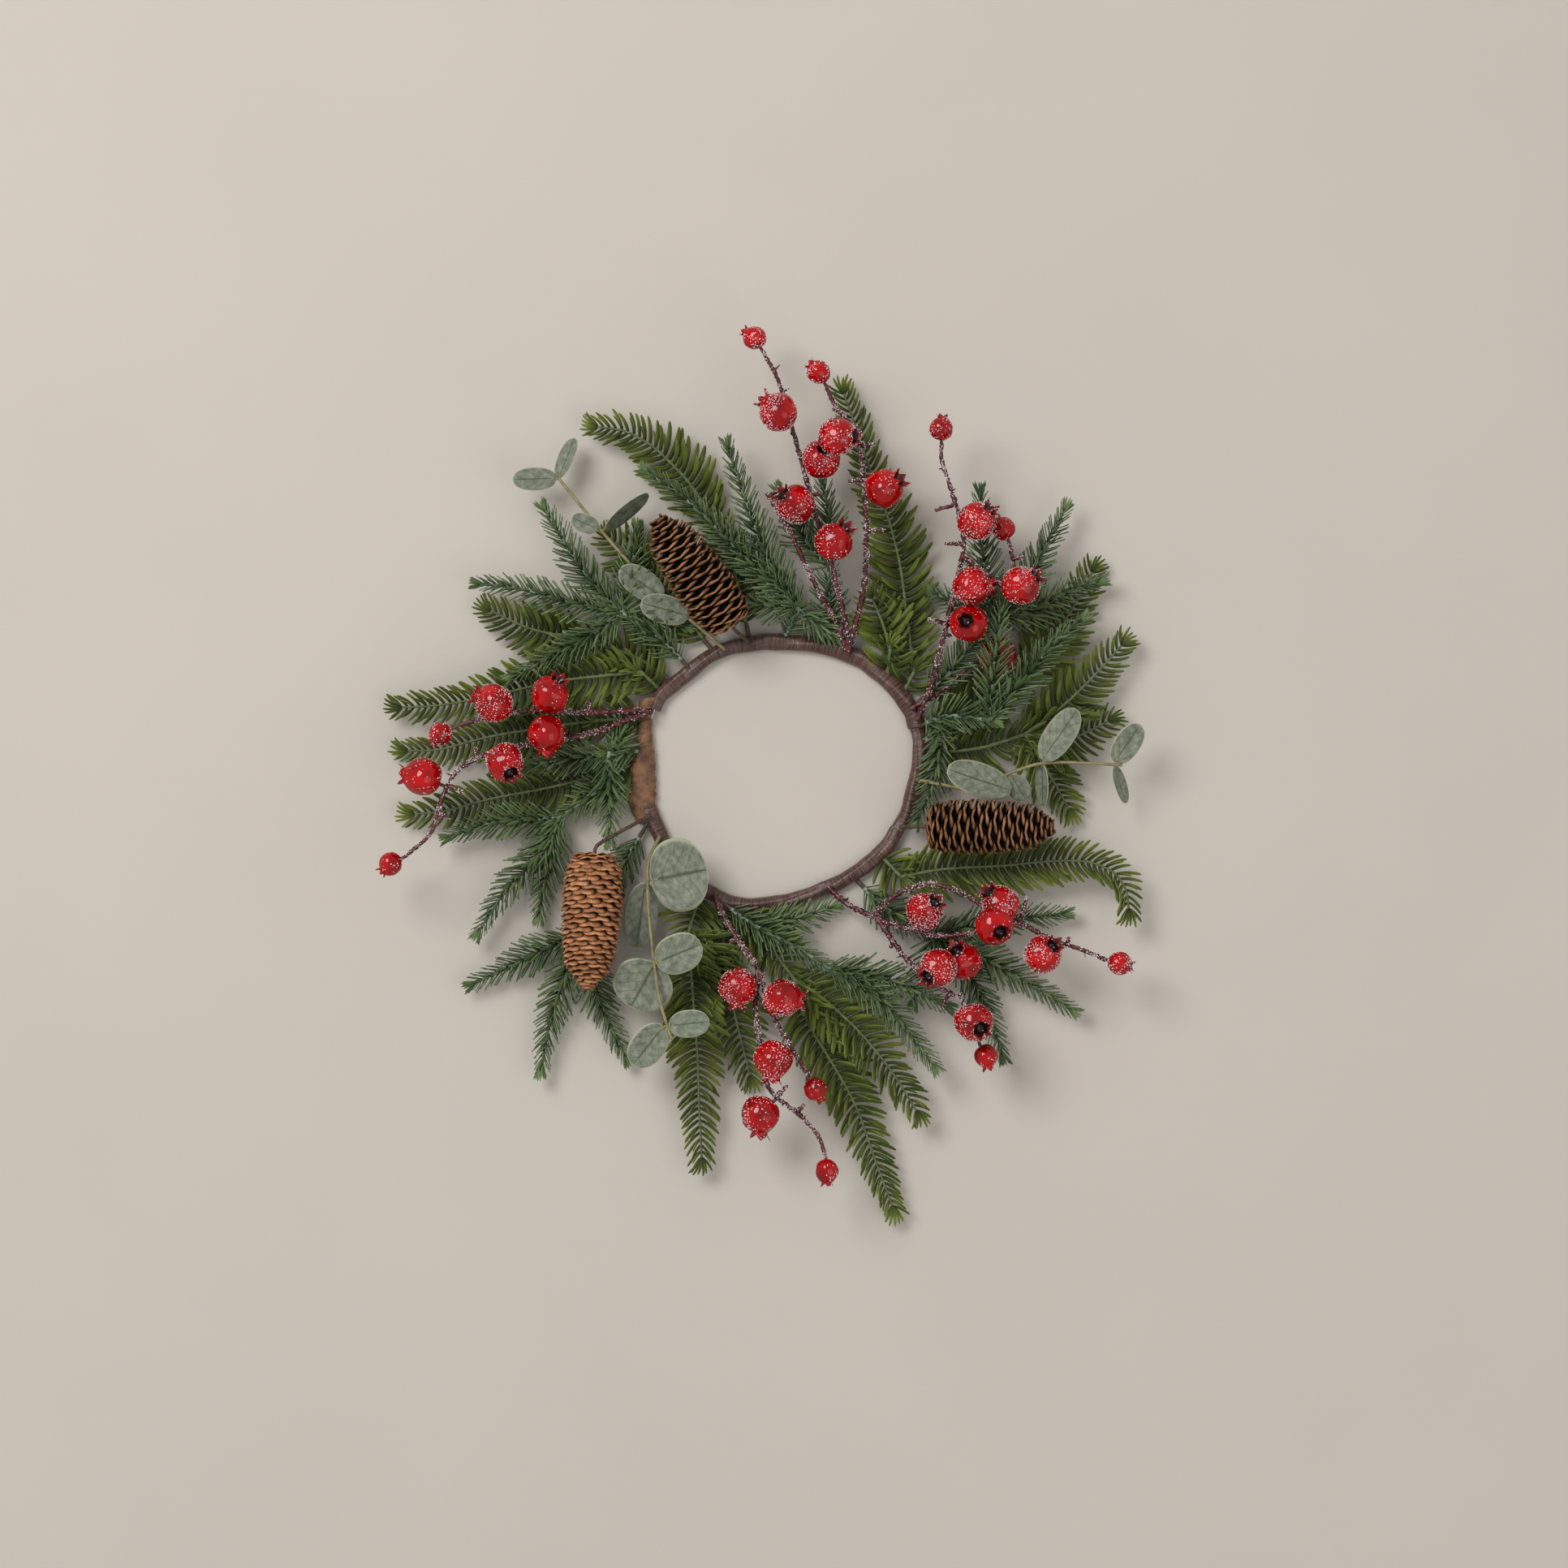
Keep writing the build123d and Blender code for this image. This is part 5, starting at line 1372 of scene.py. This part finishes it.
def berry_skin(shell, centre, crown, radius, chance):
    """A lumpy hip with a crown of pointed sepals round a dark hole."""
    lobes = chance.choice(SEPAL_COUNTS)
    side = crown.orthogonal().normalized()
    other = crown.cross(side)
    sprayed = chance.choice(FROST_AMOUNTS)
    angles = [math.radians(angle) for angle in BERRY_ANGLES]
    profile = [(math.sin(angle), -math.cos(angle), 1, 1, 0) for angle in angles]
    rings, shades, frosts = [], [], []
    drift = Vector([chance.uniform(-50, 50) for _ in range(3)])
    for wide, high, shade, frost, lobe in profile + BERRY_CROWN:
        ring, ring_frost = [], []
        for i, turn in enumerate(circle(BERRY_SIDES)):
            point = abs((i * lobes / BERRY_SIDES) % 1 * 2 - 1)
            reach = wide + 0.13 * lobe * (point - 0.5)
            tall = high + 0.3 * lobe * (point - 0.35)
            local = turned(side, other, turn) * reach + crown * tall
            lump = BERRY_LUMPS * noise.noise(local * 1.2 + drift)
            lump += BERRY_PITS * noise.noise(local * 3.3 + drift)
            ring.append(centre + local * radius * (1 + lump))
            patch = 0.45 + 1.2 * noise.noise(local * 1.3 + drift * 2)
            ring_frost.append(max(0.0, frost * sprayed * patch))
        rings.append(ring)
        shades.append([shade] * BERRY_SIDES)
        frosts.append(ring_frost)
    shell.skin(rings, shades=shades, frosts=frosts)


def frosted(name, shell, finish, grain, sizes, amount):
    """A sprayed piece with its sugar grains on it."""
    mesh = shell.mesh(name)
    paints = painted(finish, "sugar_frost")
    grains = grown(
        mesh.copy(), frost_tree, Shape=grain, Grains=sizes.frost_grains * amount,
        Seed=len(shell.points), Material=paints[1])
    return merged(name, [(mesh, 0), (grains, 1)], *paints)


def grain_shape(name):
    """A sugar grain: a crystal with eight faces."""
    corners = [(1, 0, 0), (0, 1, 0), (-1, 0, 0), (0, -1, 0), (0, 0, 1.2), (0, 0, -1)]
    faces = [(0, 1, 4), (1, 2, 4), (2, 3, 4), (3, 0, 4), (1, 0, 5), (2, 1, 5), (3, 2, 5), (0, 3, 5)]
    mesh = bpy.data.meshes.new(name)
    mesh.from_pydata(corners, [], faces)
    return linked(name, mesh)


def spray_meshes(name, spray, sizes, grain):
    """The stems of a spray with their twigs, and its berries."""
    chance = random.Random(name)
    lines = spray_lines(spray)
    places = berry_places(spray, lines, sizes)
    stems, berries = Shell(), Shell()
    for line in lines:
        stems.tube(
            line, SPRAY_STEM_RADIUS * 1.2, around=10, gap=0.55, rough=0.75, taper=0.7, frost=0.9)
    for twig in spray["twig_pixels"]:
        foot = nearest_on(lines, spot(twig))
        end = spot(twig, foot.z + SPRAY_STEM_RADIUS + chance.uniform(0, 1.5))
        bowed = (foot + end) * 0.5 + Vector((0, 0, 0.7))
        stems.tube(
            bend([foot, bowed, end]), TWIG_RADIUS * 1.7, gap=0.5, rough=0.8, taper=0.6, frost=0.8)
    for line in lines:
        for place, _ in evenly(line, SPUR_GAP)[0][1:-1]:
            way = Vector([chance.uniform(-1, 1) for _ in range(3)]).normalized()
            end = place + Vector((way.x, way.y, abs(way.z))) * chance.uniform(1.8, 3.4)
            stems.tube(
                [place, end], SPUR_RADIUS, around=6, gap=0.6, rough=0.6, taper=0.3, frost=0.5)
    for centre, foot, crown, radius in places:
        inside = centre - (centre - foot).normalized() * (radius * 0.7)
        stems.tube([foot, inside], TWIG_RADIUS, gap=0.8, rough=0.4)
        berry_skin(berries, centre, crown, radius, chance)
    return (
        frosted("berry_stems_" + name, stems, "berry_stems", grain, sizes, 2.0),
        frosted("berries_" + name, berries, "red_berries", grain, sizes, 1.0))


def leaf_skin(shell, base, tip, width, chance):
    """A round leaf, cupped and a little wavy; one that shows narrow is turned on its edge."""
    total = (tip - base).length
    ahead = (tip - base).normalized()
    real = max(width, LEAF_NARROWEST * total)
    roll = math.acos(min(width / real, 1)) * chance.choice((-1, 1)) * 0.8
    flat = Vector((-ahead.y, ahead.x, 0)).normalized()
    up = ahead.cross(flat)
    up = up if up.z > 0 else -up
    across = turned(flat, up, roll)
    normal = ahead.cross(across).normalized()
    normal = normal if normal.dot(up) > 0 else -normal
    half = LEAF_HALF_SIDES
    rings, shades, rims, uvs = [], [], [], []
    drift = Vector([chance.uniform(-20, 20) for _ in range(3)])
    for j in range(LEAF_ROWS + 1):
        s = 0.012 + 0.976 * j / LEAF_ROWS
        wide = real / 2 * (1 - abs(2 * s - 1) ** 2.3) ** 0.5
        ring, shade, rim, uv = [], [], [], []
        for i in range(4 * half):
            top = i < 2 * half
            v = (i / half - 1) if top else (1 - (i - 2 * half) / half)
            centre = base + ahead * (total * s) + across * (wide * v)
            cup = LEAF_CUP * real * v * v * (wide / real * 2)
            cup += LEAF_ARCH * total * (s - 0.3) ** 2
            wave = LEAF_WAVE * real * noise.noise(centre * 0.09 + drift)
            crease = -LEAF_CREASE * real * math.exp(-(v * 6) ** 2)
            edge = 0.12 if abs(v) > 0.99 else 0.5
            thick = LEAF_THICKNESS * edge * (0.5 if top else -0.5)
            ring.append(centre + normal * (cup + wave + crease + thick))
            shade.append(min(1.0, abs(v) * 6))
            # Rim values, for a painted highlight along the leaf's edge and at its ends.
            rim.append(max(abs(v) ** 3, abs(2 * s - 1) ** 6))
            uv.append((v * wide / real, s))
        for row, values in zip((rings, shades, rims, uvs), (ring, shade, rim, uv)):
            row.append(values)
    # The rims go in as frost values, for the painted highlight along the edge.
    shell.skin(rings, shades=shades, frosts=rims, uvs=uvs)


def sprig_meshes(name, sprig):
    """The stem of a eucalyptus sprig, and its leaves in pairs."""
    hinge = hinge_at(sprig["bound_pixels"])
    line = bend(rising([hinge] + spots(sprig["route"]), hinge.z, sprig["share"] * MOUND_HEIGHT))
    chance = random.Random(name)
    stem, leaves = Shell(), Shell()
    stem.tube(line, EUCALYPTUS_STEM_RADIUS, gap=1.0, rough=0.15, taper=0.75)
    for side, key in ((1, "upper_leaf_pixels"), (-1, "lower_leaf_pixels")):
        for base_x, base_y, tip_x, tip_y, width in sprig[key]:
            joint = nearest_on([line], spot((base_x, base_y)))
            base = spot((base_x, base_y), joint.z + side * (EUCALYPTUS_STEM_RADIUS + LEAF_GAP))
            tip = spot((tip_x, tip_y), base.z)
            tip += Vector((0, 0, side * LEAF_TILT_SHARE * (tip - base).length))
            leaf_skin(leaves, base, tip, 1.06 * width * PIXEL, chance)
            stem.tube([joint, base.lerp(tip, 0.12)], LEAF_STALK_RADIUS, around=6, gap=0.8)
    return (
        stem.mesh("stem_" + name, *painted("eucalyptus_stems")),
        leaves.mesh("leaves_" + name, *painted("eucalyptus_leaves")))


# Operators


class RingOperator(bpy.types.Operator):
    """What every step of the ring shares"""

    bl_options = {"REGISTER", "UNDO"}

    def execute(self, context):
        self.make(context.scene.ring_sizes, context.scene)
        return {"FINISHED"}


class RING_OT_windings(RingOperator):
    """Winds the satin thread round the hoop"""

    bl_idname = "ring.windings"
    bl_label = "Windings"

    def make(self, sizes, scene):
        for node, wrap in WRAPS.items():
            name = "wound_" + node
            placed(name, winding(name, wrap, sizes.thread_gap), "root", "satin_thread", node)
        wire = frame["nodes"]["hoop_wire"].data
        wire.materials.clear()
        wire.materials.append(*painted("steel_wire"))


class RING_OT_tape(RingOperator):
    """Winds the paper tape round the hoop's left side"""

    bl_idname = "ring.tape"
    bl_label = "Paper tape"

    def make(self, sizes, scene):
        name = "wound_floral_tape"
        placed(name, tape_mesh(name), "root", "paper_tape", "floral_tape")


class PickOperator(RingOperator):
    """What the fir and the spruce share"""

    def make(self, sizes, scene):
        shape = needle_shape(self.kind + "_needle", self.halves, self.rise, self.droop, self.hook)
        for node, pick in GREENS.items():
            if node.startswith(self.kind):
                name = "needled_" + node
                mesh = green_mesh(name, self.kind, pick, sizes, shape)
                placed(name, mesh, "root", self.kind + "_needles", node)
        bpy.data.objects.remove(shape)


class RING_OT_fir(PickOperator):
    """Makes the fir picks"""

    bl_idname = "ring.fir"
    bl_label = "Fir picks"
    kind = "fir"
    halves = (
        (0.0, 0.22), (0.12, 0.42), (0.4, 0.5), (0.65, 0.5), (0.85, 0.44), (0.96, 0.28), (1.0, 0.1))
    rise, droop, hook = 0.16, 0.15, 1.7


class RING_OT_spruce(PickOperator):
    """Makes the spruce picks"""

    bl_idname = "ring.spruce"
    bl_label = "Spruce picks"
    kind = "spruce"
    halves = ((0.0, 0.3), (0.45, 0.5), (0.85, 0.36), (1.0, 0.06))
    rise, droop, hook = 0.28, 0.55, 0.0


class RING_OT_cones(RingOperator):
    """Makes the cones and their wires"""

    bl_idname = "ring.cones"
    bl_label = "Cones"

    def make(self, sizes, scene):
        shape = scale_shape("cone_scale")
        for name, cone in CONES.items():
            placed("scaled_" + name, cone_mesh(name, cone, shape), name, "cone_scales", name)
            wire = "wire_of_" + name
            placed(wire, cone_wire_mesh(wire, cone), name, "brown_wire", name + "_wire")
        bpy.data.objects.remove(shape)


class RING_OT_berries(RingOperator):
    """Makes the berry sprays with their frost"""

    bl_idname = "ring.berries"
    bl_label = "Berry sprays"

    def make(self, sizes, scene):
        grain = grain_shape("sugar_grain")
        for name, spray in SPRAYS.items():
            body = name if name in frame["bodies"] else "root"
            stems, berries = spray_meshes(name, spray, sizes, grain)
            placed(stems.name, stems, body, "berry_stems", name + "_stem")
            placed(berries.name, berries, body, "red_berries", name + "_berries")
        bpy.data.objects.remove(grain)


class RING_OT_eucalyptus(RingOperator):
    """Makes the eucalyptus sprigs"""

    bl_idname = "ring.eucalyptus"
    bl_label = "Eucalyptus sprigs"

    def make(self, sizes, scene):
        for name, sprig in EUCALYPTUS.items():
            stem, leaves = sprig_meshes(name, sprig)
            placed(stem.name, stem, name, "eucalyptus_stems", name + "_stem")
            placed(leaves.name, leaves, name, "eucalyptus_leaves", name + "_leaves")


class RING_OT_stage(RingOperator):
    """Makes the floor, the lights and the camera"""

    bl_idname = "ring.stage"
    bl_label = "Stage"

    def make(self, sizes, scene):
        mesh = bpy.data.meshes.new("floor")
        sides = ((-1, -1), (1, -1), (1, 1), (-1, 1))
        corners = [(x * FLOOR_HALF, y * FLOOR_HALF, 0) for x, y in sides]
        mesh.from_pydata(corners, [], [(0, 1, 2, 3)])
        floor = linked("floor", mesh)
        colour = scene.ring_colours.floor
        pale = [min(1, c * 1.03) for c in colour]
        mesh.materials.append(plain_finish(
            "floor_board", colour, pale, 9.0, 0.8, 0.08, fine=700.0, coarse=90.0))
        world = bpy.data.worlds.new("soft_room")
        world.use_nodes = True
        background = world.node_tree.nodes["Background"]
        background.inputs["Color"].default_value = ROOM_COLOUR
        background.inputs["Strength"].default_value = ROOM_STRENGTH
        scene.world = world
        for name, place, size, power in LAMPS:
            light = bpy.data.lights.new(name, "AREA")
            light.shape = "DISK"
            light.size = size
            light.energy = power
            lamp = linked(name, light)
            lamp.location = place
            lamp.rotation_euler = (-Vector(place)).to_track_quat("-Z", "Y").to_euler()
        camera = bpy.data.cameras.new("camera")
        camera.sensor_width = SENSOR_MM
        camera.lens = SENSOR_MM * CAMERA_HEIGHT / (IMAGE_MIDDLE * 2 * PIXEL * MM)
        camera.clip_end = CAMERA_REACH
        middle = spot((IMAGE_MIDDLE, IMAGE_MIDDLE)) * MM
        scene.camera = linked("camera", camera)
        scene.camera.location = (middle.x, middle.y, CAMERA_HEIGHT)
        scene.view_settings.view_transform = "Standard"


class RING_PT_panel(bpy.types.Panel):
    """Lists the steps that make the ring"""

    bl_idname = "RING_PT_panel"
    bl_label = "Candle ring"
    bl_space_type = "VIEW_3D"
    bl_region_type = "UI"
    bl_category = "Candle ring"

    def draw(self, context):
        for group in (context.scene.ring_sizes, context.scene.ring_colours):
            for name in group.__annotations__:
                self.layout.prop(group, name)
        for operator in OPERATORS:
            self.layout.operator(operator.bl_idname)


OPERATORS = (
    RING_OT_stage, RING_OT_windings, RING_OT_tape, RING_OT_fir, RING_OT_spruce, RING_OT_cones,
    RING_OT_berries, RING_OT_eucalyptus)
CLASSES = (RingSizes, RingColours, *OPERATORS, RING_PT_panel)


def register():
    for cls in CLASSES:
        bpy.utils.register_class(cls)
    bpy.types.Scene.ring_sizes = bpy.props.PointerProperty(type=RingSizes)
    bpy.types.Scene.ring_colours = bpy.props.PointerProperty(type=RingColours)


def unregister():
    del bpy.types.Scene.ring_colours
    del bpy.types.Scene.ring_sizes
    for cls in reversed(CLASSES):
        bpy.utils.unregister_class(cls)


def main():
    register()
    for operator in OPERATORS:
        getattr(bpy.ops.ring, operator.bl_idname.split(".")[1])()


if __name__ == "__main__":
    main()
